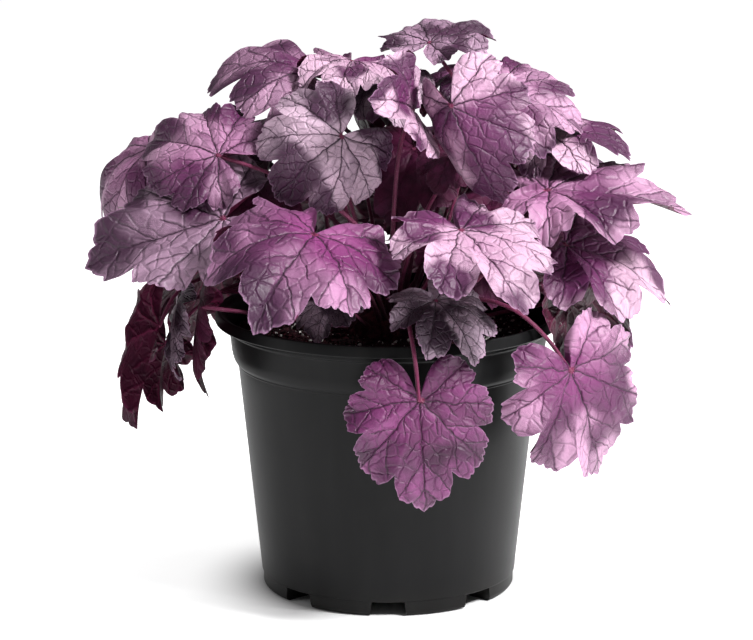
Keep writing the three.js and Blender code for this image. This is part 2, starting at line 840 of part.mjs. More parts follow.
// How deep a point lies in the space that the pot, the soil and the crown need.
function depthInPot(point, nearCrown) {
  const radius = Math.hypot(point.x, point.y);
  let outside = RIM_RADIUS;
  if (point.z < STEP_HEIGHT) {
    outside = WALL_TOP_RADIUS;
  } else if (point.z < POT_HEIGHT - RIM_BAND - CLEAR_OF_POT) {
    outside = COLLAR_TOP_RADIUS;
  }
  let depth = 0;
  if (radius > COLLAR_FOOT_RADIUS - CLEAR_OF_POT) {
    depth = Math.min(outside + CLEAR_OF_POT - radius, POT_HEIGHT + CLEAR_OF_POT - point.z);
  } else if (!nearCrown) {
    depth = SOIL_HEIGHT + CLEAR_OF_POT - point.z;
    const level = (point.z - CROWN_HEIGHT) / (CROWN_RISE + CLEAR_OF_POT);
    const inCrown = 1 - Math.hypot(radius / (CROWN_RADIUS + CLEAR_OF_POT), level);
    depth = Math.max(depth, inCrown * CROWN_RADIUS);
  }
  return Math.max(0, depth);
}

function crowding(leaf, path, leaves, cells) {
  let total = 0;
  for (const other of leaves) {
    if (other !== leaf) {
      total += Math.max(0, CLEAR_OF_STALK - stalkDistance(path, other.path)) ** 2;
    }
  }
  const samples = STALK_STEPS * SAMPLES_A_STEP;
  for (let index = 1; index <= samples; index += 1) {
    const step = Math.min(Math.floor(index / SAMPLES_A_STEP), STALK_STEPS - 1);
    const point = path[step].clone().lerp(path[step + 1], index / SAMPLES_A_STEP - step);
    const atBlade = index > samples - SAMPLES_A_STEP;
    const distance = nearestBlade(point, cells, atBlade ? leaf : null);
    total += (CLEAR_OF_BLADE - distance) ** 2;
    total += depthInPot(point, index < SAMPLES_A_STEP) ** 2;
  }
  return total;
}

// How far a stalk is from a plain easy arch that springs from the near side of the crown.
function awkwardness(leaf, route, curve, path) {
  const directions = path.slice(1).map((point, index) => point.clone().sub(path[index]));
  const length = directions.reduce((sum, piece) => sum + piece.length(), 0);
  directions.unshift(curve.v1.clone().sub(curve.v0));
  directions.push(curve.v3.clone().sub(curve.v2));
  let total = LENGTH_COST * (length / curve.v0.distanceTo(curve.v3) - 1) ** 2;
  for (let index = 1; index < directions.length; index += 1) {
    const bend = directions[index].angleTo(directions[index - 1]);
    total += BEND_COST * Math.max(0, bend - EASY_BEND) ** 2;
  }
  const turned = Math.sin(radians(route.azimuth - bearing(leaf)) / 2);
  return total + turned ** 2 + Math.sin(radians(route.across)) ** 2;
}

function routeCost(leaf, route, leaves, cells) {
  const curve = stalkCurve(leaf, route);
  const path = curve.getSpacedPoints(STALK_STEPS);
  const crowded = CROWDING_COST * crowding(leaf, path, leaves, cells);
  return { route, path, cost: crowded + awkwardness(leaf, route, curve, path) };
}

function betterRoute(leaf, leaves, cells) {
  const attempts = [routeCost(leaf, leaf.route, leaves, cells)];
  for (let index = 0; index < FRESH_ROUTES; index += 1) {
    attempts.push(routeCost(leaf, freshRoute(leaf), leaves, cells));
  }
  attempts.sort((one, other) => one.cost - other.cost);
  const refined = attempts.slice(0, KEPT_ROUTES).map((attempt) => {
    let best = attempt;
    for (let index = 0; index < REFINED_ROUTES; index += 1) {
      const share = index < REFINED_ROUTES / 2 ? 1 : FINE_SHARE;
      const next = routeCost(leaf, changedRoute(leaf, best.route, share), leaves, cells);
      best = next.cost < best.cost ? next : best;
    }
    return best;
  });
  return refined.reduce((best, attempt) => (attempt.cost < best.cost ? attempt : best));
}

function findRoutes(leaves) {
  draw(ROUTE_SEED);
  const cells = sortIntoCells(leaves);
  for (const leaf of leaves) {
    leaf.route = freshRoute(leaf);
    leaf.path = stalkCurve(leaf, leaf.route).getSpacedPoints(STALK_STEPS);
  }
  for (let round = 0; round < ROUTE_ROUNDS; round += 1) {
    for (const leaf of leaves) {
      if (round < EVERY_LEAF_ROUNDS || crowding(leaf, leaf.path, leaves, cells) > SLIGHT_CROWDING) {
        Object.assign(leaf, betterRoute(leaf, leaves, cells));
      }
    }
  }
}

// ---------------------------------------------------------------- the plant

function leafFrame(leaf) {
  const [heading, pitch, roll] = leaf.turn.map(radians);
  const tip = new THREE.Vector3(
    Math.cos(heading) * Math.cos(pitch),
    Math.sin(heading) * Math.cos(pitch),
    Math.sin(pitch),
  );
  const face = new THREE.Vector3(
    -Math.cos(heading) * Math.sin(pitch),
    -Math.sin(heading) * Math.sin(pitch),
    Math.cos(pitch),
  );
  face.applyAxisAngle(tip, roll);
  const side = tip.clone().cross(face);
  const frame = new THREE.Matrix4().makeBasis(side, tip, face);
  return frame.setPosition(...leaf.at);
}

function leafMaterial(index) {
  const shade = 0.5 + 0.5 * Math.sin(index * 2.4);
  const colour = new THREE.Color(0x8d5c8c).lerp(new THREE.Color(0xb98fb9), shade);
  return new THREE.MeshStandardMaterial({ color: colour, roughness: 0.5, metalness: 0 });
}

function describeLeaf([name, values]) {
  const leaf = { name, fold: 8, side: 1, ruffle: RUFFLE, entry: ENTRY, ...values };
  leaf.frame = leafFrame(leaf);
  return leaf;
}

function buildLeaf(leaf, index) {
  const body = toSolid(bladeGeometry(leaf)).add(toSolid(stalkGeometry(leaf)));
  const mesh = named(`leaf_${leaf.name}`, toGeometry(body), leafMaterial(index));
  mesh.position.setFromMatrixPosition(leaf.frame);
  mesh.quaternion.setFromRotationMatrix(leaf.frame);
  return mesh;
}

const plastic = new THREE.MeshStandardMaterial({ color: 0x1b1b1c, roughness: 0.42, metalness: 0 });
const earth = new THREE.MeshStandardMaterial({ color: 0x2a1613, roughness: 0.95, metalness: 0 });
const wood = new THREE.MeshStandardMaterial({ color: 0x4a2630, roughness: 0.8, metalness: 0 });

const plant = new THREE.Group();
plant.add(named("pot", buildPot(), plastic));
plant.add(named("soil", buildSoil(), earth));
plant.add(named("crown", crownGeometry(0), wood));

const leaves = Object.entries(LEAVES).map(describeLeaf);
findRoutes(leaves);
const foliage = new THREE.Group();
leaves.forEach((leaf, index) => foliage.add(buildLeaf(leaf, index)));
plant.add(foliage);

export default plant;
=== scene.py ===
# %% [markdown]
# # A heuchera in its nursery pot
# This file dresses a finished model: a low mound of long-stalked leaves in a black plastic pot. The
# measured solids come first, as a frame that never moves, and every finer piece is built in the same
# place and in the same metres.

# %% Load the frame
import math
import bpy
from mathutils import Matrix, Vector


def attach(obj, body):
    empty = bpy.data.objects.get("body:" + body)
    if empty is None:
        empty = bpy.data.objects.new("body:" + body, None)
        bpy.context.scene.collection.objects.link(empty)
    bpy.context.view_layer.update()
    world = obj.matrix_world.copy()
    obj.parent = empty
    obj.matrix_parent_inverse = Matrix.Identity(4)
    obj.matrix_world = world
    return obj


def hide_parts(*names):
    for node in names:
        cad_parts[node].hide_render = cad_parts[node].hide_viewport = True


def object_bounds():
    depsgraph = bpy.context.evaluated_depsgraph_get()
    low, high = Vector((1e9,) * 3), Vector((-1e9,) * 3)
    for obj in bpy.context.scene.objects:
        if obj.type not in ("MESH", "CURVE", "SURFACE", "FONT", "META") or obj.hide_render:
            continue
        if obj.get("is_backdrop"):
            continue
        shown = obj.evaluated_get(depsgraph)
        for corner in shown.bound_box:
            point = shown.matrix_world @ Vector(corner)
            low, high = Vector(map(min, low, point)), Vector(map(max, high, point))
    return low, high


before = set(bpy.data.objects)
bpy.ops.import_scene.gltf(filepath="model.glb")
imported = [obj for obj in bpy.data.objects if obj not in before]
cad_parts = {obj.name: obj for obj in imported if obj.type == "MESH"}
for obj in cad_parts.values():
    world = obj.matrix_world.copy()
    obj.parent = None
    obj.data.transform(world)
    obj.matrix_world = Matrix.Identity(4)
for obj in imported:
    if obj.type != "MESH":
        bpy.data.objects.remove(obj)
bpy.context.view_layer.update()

from types import SimpleNamespace

import bmesh
import bpy
import numpy as np
from mathutils import Matrix, Vector

MM = 0.001
print("solids loaded:", len(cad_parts))

# %% [markdown]
# ## Camera
# A long lens far away keeps the pot's sides nearly parallel, as in a catalogue picture. The camera looks
# a little down, so that the soil and the backs of the lower leaves show behind the rim.

# %% Camera
CAMERA_PLACE = (0.0, -1.873, 0.575)
CAMERA_TILT = math.radians(90 - 12.84)
CAMERA_TURN = math.radians(0.2)
LENS = 167.46

lens = bpy.data.cameras.new("camera")
lens.lens = LENS
lens.sensor_width = 36.0
camera = bpy.data.objects.new("camera", lens)
camera.location = CAMERA_PLACE
camera.rotation_euler = (CAMERA_TILT, 0.0, CAMERA_TURN)
bpy.context.scene.collection.objects.link(camera)
bpy.context.scene.camera = camera
print("camera stands", round(-CAMERA_PLACE[1], 2), "m away")

# %% [markdown]
# ## Light
# One soft box high on the right gives the leaves their light and dark sides and throws the shadow to the
# left. A tall strip on each side draws a soft line down the pot, a wide box overhead lifts the top leaves,
# and a dim white room fills in the rest. A brighter room would be simpler, but it makes the leaves flat.

# %% Light
def soft_box(name, place, aim, size, watts):
    light = bpy.data.lights.new(name, "AREA")
    light.shape = "RECTANGLE"
    light.size = size[0]
    light.size_y = size[1]
    light.energy = watts
    box = bpy.data.objects.new(name, light)
    box.location = place
    box.rotation_euler = (Vector(aim) - Vector(place)).to_track_quat("-Z", "Y").to_euler()
    bpy.context.scene.collection.objects.link(box)


HEART_OF_PLANT = (0.0, 0.0, 0.18)
MIDDLE_OF_POT = (0.0, 0.0, 0.12)
STRIP = (0.3, 1.2)
soft_box("key", (0.86, -0.56, 1.12), HEART_OF_PLANT, (0.32, 0.32), 30.0)
soft_box("left_strip", (-1.1, -0.35, 0.55), MIDDLE_OF_POT, STRIP, 2.0)
soft_box("right_strip", (1.15, 0.25, 0.5), MIDDLE_OF_POT, STRIP, 3.2)
soft_box("top", (-0.1, 0.15, 1.5), HEART_OF_PLANT, (1.0, 1.0), 3.5)

world = bpy.data.worlds.new("studio")
bpy.context.scene.world = world
world.use_nodes = True
room = world.node_tree.nodes["Background"]
room.inputs["Color"].default_value = (1.0, 1.0, 1.0, 1.0)
room.inputs["Strength"].default_value = 0.16
bpy.context.scene.view_settings.view_transform = "Standard"

# %% [markdown]
# ## Shader sums as Python
# A material's pattern is a long sum. Written with one wrapper class, each socket behaves like a number,
# and the nodes appear by themselves. The alternative, placing every node by hand, hides the sum.

# %% A socket that can be added, multiplied and mixed
class Signal:
    """An output socket. Arithmetic on it adds Math nodes to its tree."""

    def __init__(self, tree, socket=None):
        self.tree = tree
        self.socket = socket

    def make(self, kind, settings=None, sockets=None, out=0):
        """Any node: its type, its settings, its sockets' values or links, and which output to return."""
        node = self.tree.nodes.new(kind)
        for name, value in (settings or {}).items():
            setattr(node, name, value)
        for key, value in (sockets or {}).items():
            if isinstance(value, Signal):
                self.tree.links.new(value.socket, node.inputs[key])
            else:
                node.inputs[key].default_value = value
        return Signal(self.tree, node.outputs[out])

    def sum(self, operation, *values):
        return self.make("ShaderNodeMath", {"operation": operation}, dict(enumerate(values)))

    def __add__(self, other):
        return self.sum("ADD", self, other)

    __radd__ = __add__

    def __sub__(self, other):
        return self.sum("SUBTRACT", self, other)

    def __rsub__(self, other):
        return self.sum("SUBTRACT", other, self)

    def __mul__(self, other):
        return self.sum("MULTIPLY", self, other)

    __rmul__ = __mul__

    def __truediv__(self, other):
        return self.sum("DIVIDE", self, other)

    def __pow__(self, other):
        return self.sum("POWER", self, other)

    def above(self, level):
        return self.sum("GREATER_THAN", self, level)

    def least(self, other):
        return self.sum("MINIMUM", self, other)

    def most(self, other):
        return self.sum("MAXIMUM", self, other)

    def ease(self, low, high, start=0.0, end=1.0):
        """A soft step: start up to low, end from high on."""
        ends = {"Value": self, "From Min": low, "From Max": high, "To Min": start, "To Max": end}
        return self.make("ShaderNodeMapRange", {"interpolation_type": "SMOOTHSTEP"}, ends)

    def choose(self, first, second):
        """A colour: first where this is 0, second where it is 1."""
        sockets = {0: self, 6: first, 7: second}
        return self.make("ShaderNodeMix", {"data_type": "RGBA"}, sockets, out=2)

    def noise(self, place, scale, detail=3.0, rough=0.55):
        sockets = {"Vector": place, "Scale": scale, "Detail": detail, "Roughness": rough}
        return self.make("ShaderNodeTexNoise", None, sockets)

    def part(self, number):
        """One of the three parts of a vector."""
        return self.make("ShaderNodeSeparateXYZ", None, {0: self}, number)

    def vector(self, *parts):
        return self.make("ShaderNodeCombineXYZ", None, dict(enumerate(parts)))

    def layer(self, name, out=2):
        """A value that the mesh carries at its points."""
        return self.make("ShaderNodeAttribute", {"attribute_name": name}, out=out)

    def place(self):
        """The point's place on the object, in metres."""
        return self.make("ShaderNodeTexCoord", out=3)


print("what a signal can do:", [name for name in vars(Signal) if not name.startswith("_")])

# %% A colour from its web code, and an empty material
def tint(code):
    parts = [int(code[i:i + 2], 16) / 255 for i in (0, 2, 4)]
    linear = [p / 12.92 if p <= 0.04045 else ((p + 0.055) / 1.055) ** 2.4 for p in parts]
    return (*linear, 1.0)


def new_material(name, **plain):
    """A principled material with these plain values, and a Signal to write its sums with."""
    material = bpy.data.materials.new(name)
    material.use_nodes = True
    tree = material.node_tree
    shader = tree.nodes["Principled BSDF"]
    for key, value in plain.items():
        shader.inputs[key.replace("_", " ")].default_value = value
    return material, shader, Signal(tree)


def feed(shader, **links):
    for key, value in links.items():
        value.tree.links.new(value.socket, shader.inputs[key.replace("_", " ")])


def bump(start, height, distance, normal=None):
    sockets = {"Height": height, "Distance": distance, "Strength": 1.0}
    if normal is not None:
        sockets["Normal"] = normal
    return start.make("ShaderNodeBump", None, sockets)


print("middle grey in linear light:", round(tint("808080")[0], 3))

# %% [markdown]
# ## Meshes from arrays
# Thousands of points are worked out at once with numpy and handed to Blender in one go. That is much
# faster than adding vertices one by one, and the script then runs in seconds.

# %% A mesh from arrays of points and faces
def mesh_object(name, points, quads, triangles, materials, slots, maps=None, layers=None):
    """maps: UV maps, one pair per corner. layers: attributes, one value or triple per point."""
    mesh = bpy.data.meshes.new(name)
    quads = np.asarray(quads, np.int32).reshape(-1, 4)
    triangles = np.asarray(triangles, np.int32).reshape(-1, 3)
    corners = np.concatenate([quads.ravel(), triangles.ravel()])
    mesh.vertices.add(len(points))
    mesh.vertices.foreach_set("co", np.asarray(points, np.float32).ravel())
    mesh.loops.add(len(corners))
    mesh.loops.foreach_set("vertex_index", corners)
    mesh.polygons.add(len(quads) + len(triangles))
    first_triangle = 4 * len(quads)
    starts = np.concatenate([np.arange(len(quads)) * 4, first_triangle + np.arange(len(triangles)) * 3])
    mesh.polygons.foreach_set("loop_start", starts.astype(np.int32))
    for material in materials:
        mesh.materials.append(material)
    mesh.polygons.foreach_set("material_index", np.asarray(slots, np.int32))
    mesh.update(calc_edges=True)
    for key, values in (maps or {}).items():
        mesh.uv_layers.new(name=key).uv.foreach_set("vector", np.asarray(values, np.float32)[corners].ravel())
    for key, values in (layers or {}).items():
        values = np.asarray(values, np.float32)
        if values.ndim == 1:
            mesh.attributes.new(key, "FLOAT", "POINT").data.foreach_set("value", values)
        else:
            mesh.attributes.new(key, "FLOAT_VECTOR", "POINT").data.foreach_set("vector", values.ravel())
    mesh.validate()
    piece = bpy.data.objects.new(name, mesh)
    bpy.context.scene.collection.objects.link(piece)
    return piece


def smooth(piece, degrees=60.0):
    """Soft shading, except over edges that turn by more than this."""
    piece.data.polygons.foreach_set("use_smooth", np.ones(len(piece.data.polygons), bool))
    piece.data.set_sharp_from_angle(angle=math.radians(degrees))


def grid_quads(rows, columns, wrap=False):
    """Faces of a grid of points stored row by row."""
    across = columns if wrap else columns - 1
    i, j = np.meshgrid(np.arange(rows - 1), np.arange(across), indexing="ij")
    k = (j + 1) % columns
    quads = np.stack([i * columns + j, i * columns + k, (i + 1) * columns + k, (i + 1) * columns + j], -1)
    return quads.reshape(-1, 4)


def fan(hub, ring, inward=False):
    """Triangles from one point to each step of a closed ring."""
    ahead = np.roll(ring, -1)
    steps = (ahead, ring) if inward else (ring, ahead)
    return np.stack([np.full(len(ring), hub), *steps], 1)


print("faces in a grid of 3 by 4 points:", len(grid_quads(3, 4)))

# %% [markdown]
# ## Floor
# A plain white sheet under everything. It is a stage, not part of the plant. It glows, as a sheet lit from
# behind does, so that it stays white in every view. Round the pot the glow fades out: a painted shade that
# darkens the floor beside the foot and in the drain channels and joins the soft cast shadow there.

# %% Floor
# The painted shade's radii and the floor's half width in metres.
FLOOR_GLOW = 0.78
SHADE_NEAR = 0.068
SHADE_FAR = 0.115
FLOOR_HALF = 16.0
glow = {"Emission_Strength": FLOOR_GLOW}
paper, shader, start = new_material("studio_floor", Roughness=0.9, Specular_IOR_Level=0.1, **glow)
place = start.place()
feed(shader, Base_Color=start.noise(place, 40.0).choose(tint("F4F4F5"), tint("FAFAFA")))
flat = {0: place, 1: (1.0, 1.0, 0.0)}
from_pot = start.make("ShaderNodeVectorMath", {"operation": "MULTIPLY"}, flat)
from_pot = start.make("ShaderNodeVectorMath", {"operation": "LENGTH"}, {0: from_pot}, out=1)
# Painted shade: the floor's glow falls to black round the foot of the pot and in its drain channels.
unshaded = from_pot.ease(SHADE_NEAR, SHADE_FAR) ** 0.5
feed(shader, Emission_Color=unshaded.choose(tint("000000"), tint("FFFFFF")))
corners = [(x * FLOOR_HALF, y * FLOOR_HALF, 0.0) for x, y in ((-1, -1), (1, -1), (1, 1), (-1, 1))]
floor = mesh_object("floor", corners, [[0, 1, 2, 3]], [], [paper], [0])
floor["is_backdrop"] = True
print("floor:", 2 * FLOOR_HALF, "m wide")

# %% [markdown]
# ## The pot
# A nursery pot is blown or injected in one piece: a thin tapered wall, a collar, a rim band with a lip,
# and drain notches that run in under the foot. It could be stacked from cones, but one outline turned
# round the axis gives the whole wall in one closed skin, with each corner rounded by a short arc. The
# frame's plain pot has the same outline with fewer sides, so the fine pot takes its place.

# %% The pot's outline
# Radii, heights and thicknesses in millimetres.
RIM = 95.0
HEIGHT = 155.0
BAND = 6.5
COLLAR_TOP = 87.2
COLLAR_FOOT = 85.8
COLLAR_FOOT_AT = 132.0
STEP_AT = 125.0
WALL_TOP = 82.4
WALL_FOOT = 70.1
FOOT_AT = 8.5
FOOT = 69.6
BASE = 67.0
WALL = 1.5
FLOOR_THICK = 1.6
BAND_FOOT = HEIGHT - BAND


def rounded(corners, steps=4):
    """The outline with each corner (radius, height, rounding) replaced by a short arc."""
    points = []
    for i, (x, y, r) in enumerate(corners):
        here = np.array([x, y])
        if r == 0 or i in (0, len(corners) - 1):
            points.append(here)
            continue
        back = np.array(corners[i - 1][:2]) - here
        ahead = np.array(corners[i + 1][:2]) - here
        reach = min(r, 0.45 * np.linalg.norm(back), 0.45 * np.linalg.norm(ahead))
        begin = here + back / np.linalg.norm(back) * reach
        end = here + ahead / np.linalg.norm(ahead) * reach
        for t in np.linspace(0, 1, steps + 1):
            points.append((1 - t) ** 2 * begin + 2 * t * (1 - t) * here + t ** 2 * end)
    return np.array(points)


def wall_at(height):
    return WALL_FOOT + (WALL_TOP - WALL_FOOT) * (height - FOOT_AT) / (STEP_AT - FOOT_AT)


pot_outline = rounded([
    (0.0, 0.0, 0),
    (BASE, 0.0, 1.0),
    (FOOT - 0.8, 0.8, 0.5),
    (FOOT, 2.4, 0.8),
    (FOOT, FOOT_AT - 0.4, 0.2),
    (WALL_FOOT, FOOT_AT, 0.3),
    (WALL_TOP, STEP_AT, 1.2),
    (WALL_TOP + 0.7, STEP_AT + 0.5, 0.2),
    (WALL_TOP + 0.7, STEP_AT + 1.3, 0.2),
    (COLLAR_FOOT - 1.2, STEP_AT + 3, 1.5),
    (COLLAR_FOOT, COLLAR_FOOT_AT, 2.5),
    (COLLAR_TOP, BAND_FOOT - 4, 0.6),
    (COLLAR_TOP + 1.6, BAND_FOOT - 3, 0.5),
    (COLLAR_TOP + 1.6, BAND_FOOT - 0.8, 0.4),
    (COLLAR_TOP + 2.4, BAND_FOOT + 0.9, 0.4),
    (RIM - 1.7, BAND_FOOT + 0.9, 0.3),
    (RIM - 0.9, BAND_FOOT, 0.35),
    (RIM, BAND_FOOT + 0.8, 0.35),
    (RIM - 0.9, HEIGHT - 1.4, 0.6),
    (RIM - 1.3, HEIGHT, 0.5),
    (RIM - 2.9, HEIGHT, 0.5),
    (RIM - 3.4, HEIGHT - 1.5, 0.5),
    (RIM - 6.3, HEIGHT - 2.6, 0.7),
    (COLLAR_TOP - WALL, BAND_FOOT - 4, 0.5),
    (COLLAR_FOOT - WALL, COLLAR_FOOT_AT, 1.0),
    (WALL_TOP - WALL, STEP_AT, 1.0),
    (wall_at(FLOOR_THICK + 2) - WALL - 0.4, FLOOR_THICK + 2, 0.8),
    (BASE, FLOOR_THICK, 0.8),
    (0.0, FLOOR_THICK, 0),
])
print("points in the pot's outline:", len(pot_outline))

# %% Turn an outline round the axis
POT_SIDES = 192


def turned(name, outline, sides, material):
    """A closed solid of revolution from an outline that starts and ends on the axis."""
    ring = np.arange(sides) * 2 * np.pi / sides
    inner = outline[1:-1]
    x = inner[:, :1] * np.cos(ring)
    y = inner[:, :1] * np.sin(ring)
    z = np.repeat(inner[:, 1:], sides, 1)
    points = np.stack([x, y, z], -1).reshape(-1, 3)
    points = np.vstack([points, [[0, 0, outline[0, 1]], [0, 0, outline[-1, 1]]]])
    low, high = len(points) - 2, len(points) - 1
    turn = np.arange(sides)
    triangles = np.vstack([fan(low, turn, inward=True), fan(high, low - sides + turn)])
    quads = grid_quads(len(inner), sides, wrap=True)
    return mesh_object(name, points * MM, quads, triangles, [material], np.zeros(len(quads) + 2 * sides))


print("faces round the pot:", (len(pot_outline) - 3) * POT_SIDES)

# %% [markdown]
# ## Drain notches
# Eight notches in the foot run inward as channels, and the roof of each has a drain hole, so the pot drains
# on a flat bench. The moulding keeps its wall there, so each channel has a hump over it inside the pot.
# The cuts could be modelled into the turned grid, but that tangles its even faces: bars and pins with
# booleans say the same in four steps. The helpers for that are made here and used below.

# %% Bars and pins for the drain channels
NOTCHES = 8
NOTCH_HALF = 10.0
NOTCH_TAPER = 1.2
NOTCH_HEIGHT = 8.0
NOTCH_INNER = 40.0
HOLE_RADIUS = 4.5
HOLE_AT = 52.0
HOLE_SIDES = 24
NOTCH_ANGLES = -math.pi / 2 + np.arange(NOTCHES) * 2 * math.pi / NOTCHES


def notch_bars(name, half, height, inner, outer, low):
    """The eight bars with a trapezium section that run out along the floor."""
    points = []
    faces = []
    top = half - NOTCH_TAPER
    section = ((-half, low), (half, low), (top, height), (-top, height))
    for angle in NOTCH_ANGLES:
        out = np.array([math.cos(angle), math.sin(angle), 0.0])
        side = np.array([-out[1], out[0], 0.0])
        base = len(points)
        for reach in (inner, outer):
            for across, z in section:
                points.append(out * reach + side * across + np.array([0, 0, z]))
        for face in ((0, 1, 2, 3), (7, 6, 5, 4), (0, 4, 5, 1), (1, 5, 6, 2), (2, 6, 7, 3), (3, 7, 4, 0)):
            faces.append([base + corner for corner in face])
    bars = mesh_object(name, np.array(points) * MM, faces, [], [], np.zeros(len(faces)))
    shape = bmesh.new()
    shape.from_mesh(bars.data)
    bmesh.ops.recalc_face_normals(shape, faces=shape.faces)
    shape.to_mesh(bars.data)
    shape.free()
    return bars


def drain_pins(name, radius, reach):
    """Eight upright pins that pierce the roofs of the drain channels."""
    shape = bmesh.new()
    for angle in NOTCH_ANGLES:
        place = Vector((math.cos(angle) * reach, math.sin(angle) * reach, NOTCH_HEIGHT)) * MM
        size = {"radius1": radius * MM, "radius2": radius * MM, "depth": NOTCH_HEIGHT * MM}
        spot = Matrix.Translation(place)
        bmesh.ops.create_cone(shape, cap_ends=True, segments=HOLE_SIDES, matrix=spot, **size)
    pins = mesh_object(name, [], [], [], [], [])
    shape.to_mesh(pins.data)
    shape.free()
    return pins


def combine(piece, other, operation):
    step = piece.modifiers.new(operation, "BOOLEAN")
    step.operation = operation
    step.solver = "EXACT"
    step.object = other
    bpy.context.view_layer.objects.active = piece
    bpy.ops.object.modifier_apply(modifier=step.name)
    bpy.data.objects.remove(other)


print("drain channels:", NOTCHES)

# %% [markdown]
# ## Black plastic
# Moulded polypropylene is never quite black and never quite smooth: a fine grain, faint vertical flow
# marks, dust that settles towards the foot, and a satin gloss that is a little uneven. A painted picture
# could carry all this, but noise in the object's own space needs no map and has no seam.

# %% Black plastic
def black_plastic():
    material, shader, start = new_material("black_plastic", Specular_IOR_Level=0.14)
    place = start.place()
    stretch = {"Vector": place, "Scale": (1.0, 1.0, 0.12)}
    flow = start.noise(start.make("ShaderNodeMapping", None, stretch), 60.0, 4.0)
    grain = start.noise(place, 2600.0, 2.0)
    cloud = start.noise(place, 26.0, 4.0)
    dust = place.part(2).ease(0.02, 0.0) * 0.5 * cloud + cloud.ease(0.58, 0.8) * 0.18
    body = flow.ease(0.35, 0.7).choose(tint("0B0B0C"), tint("101011"))
    feed(shader, Base_Color=(0.6 * dust).choose(body, tint("35322F")))
    feed(shader, Roughness=0.33 + 0.12 * cloud + 0.06 * grain)
    surface = bump(start, grain, 0.00002)
    feed(shader, Normal=bump(start, flow, 0.00006, surface))
    return material


plastic = black_plastic()
print("finish of the pot:", plastic.name)

# %% [markdown]
# ## Putting the pot together
# The humps are the bars, a wall thicker all round, trimmed to what lies inside the foot. They are joined
# to the turned pot first; then the channels and the drain holes are cut through both.

# %% Build the pot
SMOOTH_UP_TO = 32.0
CHANNEL_FOOT = -1.0
HUMP_FOOT = 0.8
FOOT_POINTS = int(np.searchsorted(pot_outline[:, 1], FOOT_AT)) + 1
pot = turned("pot_body", pot_outline, POT_SIDES, plastic)
hump_size = (NOTCH_HALF + WALL, NOTCH_HEIGHT + WALL, NOTCH_INNER - WALL, FOOT - WALL / 2)
humps = notch_bars("humps", *hump_size, HUMP_FOOT)
foot_outline = np.vstack([pot_outline[:FOOT_POINTS], [[WALL_FOOT, STEP_AT], [0, STEP_AT]]])
filled = turned("filled", foot_outline, POT_SIDES, plastic)
combine(humps, filled, "INTERSECT")
combine(pot, humps, "UNION")
channels = notch_bars("channels", NOTCH_HALF, NOTCH_HEIGHT, NOTCH_INNER, RIM, CHANNEL_FOOT)
combine(pot, channels, "DIFFERENCE")
combine(pot, drain_pins("pins", HOLE_RADIUS, HOLE_AT), "DIFFERENCE")
smooth(pot, SMOOTH_UP_TO)
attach(pot, "root")
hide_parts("pot")
print("pot:", len(pot.data.polygons), "faces")

# %% [markdown]
# ## Soil
# Potting soil is a heap of crumbs: dark peat and bark in many sizes, with white perlite in between. The
# frame's plain soil stays underneath with an earthy finish, and a rough sheet and loose crumbs cover it.
# A bump in the finish would do from above, but over the rim the soil is seen almost from the side, where
# only real height shows.

# %% Soil material
def earth(name, dark, light, grain_scale):
    material, shader, start = new_material(name, Specular_IOR_Level=0.25)
    place = start.place()
    lumps = start.noise(place, grain_scale, 5.0, 0.7)
    fibre = start.noise(place, grain_scale * 4, 3.0, 0.6)
    feed(shader, Base_Color=lumps.ease(0.35, 0.72).choose(dark, light))
    feed(shader, Roughness=0.75 + 0.2 * fibre)
    feed(shader, Normal=bump(start, lumps + 0.5 * fibre, 0.0006))
    return material


peat = earth("peat", tint("0C0406"), tint("3E121E"), 420.0)
bark = earth("bark", tint("180709"), tint("54202C"), 700.0)
perlite = earth("perlite", tint("D8D2CE"), tint("F8F6F2"), 900.0)
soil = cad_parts["soil"]
soil.data.materials.clear()
soil.data.materials.append(peat)
print("earthy finishes:", [m.name for m in (peat, bark, perlite)])

# %% Rough sheet of peat over the soil
SOIL_AT = 141.5
SOIL_RADIUS = 84.6
SHEET_ROWS = 63
SHEET_SPOKES = 200
SHEET_DEPTH = 1.2
SHEET_RISE = 1.1
SHEET_WAVE = 0.9
SHEET_GRIT = 0.35
EDGE_RISE = 0.2
MIDDLE_RISE = 1.5
random = np.random.default_rng(11)


def bumps(x, y):
    """A smooth uneven height, about -1 to 1, from a few crossed waves."""
    height = np.sin(x * 0.31 + 1.7 * np.sin(y * 0.23)) * np.sin(y * 0.37)
    height = height + 0.6 * np.sin(x * 0.83) * np.sin(y * 0.71 + 2 * np.sin(x * 0.4))
    return (height + 0.4 * np.sin(1.9 * x) * np.sin(1.7 * y)) / 2


rings = np.linspace(0, SOIL_RADIUS, SHEET_ROWS + 1)[1:]
spokes = np.arange(SHEET_SPOKES)
turn = spokes * 2 * np.pi / SHEET_SPOKES
x = rings[:, None] * np.cos(turn)
y = rings[:, None] * np.sin(turn)
rise = SHEET_RISE + SHEET_WAVE * bumps(x, y) + SHEET_GRIT * random.normal(size=x.shape)
rise[-1] = EDGE_RISE
top = np.stack([x, y, SOIL_AT + rise], -1).reshape(-1, 3)
foot = top[-SHEET_SPOKES:] * [1, 1, 0] + [0, 0, SOIL_AT - SHEET_DEPTH]
points = np.vstack([top, foot, [[0, 0, SOIL_AT + MIDDLE_RISE], [0, 0, SOIL_AT - SHEET_DEPTH]]])
quads = grid_quads(SHEET_ROWS + 1, SHEET_SPOKES, wrap=True)[:, ::-1]
high, low = len(points) - 2, len(points) - 1
triangles = np.vstack([fan(high, spokes), fan(low, len(top) + spokes, inward=True)])
slots = np.zeros(len(quads) + len(triangles))
sheet = mesh_object("soil_surface", points * MM, quads, triangles, [peat], slots)
smooth(sheet, 70.0)
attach(sheet, "root")
print("faces in the sheet of peat:", len(sheet.data.polygons))

# %% [markdown]
# ## Loose crumbs
# Bark, peat and perlite lie loose on top, each grain turned its own way. Blender could scatter copies of
# one grain, but each grain here has its own shape, so each kind is one mesh with all its grains.

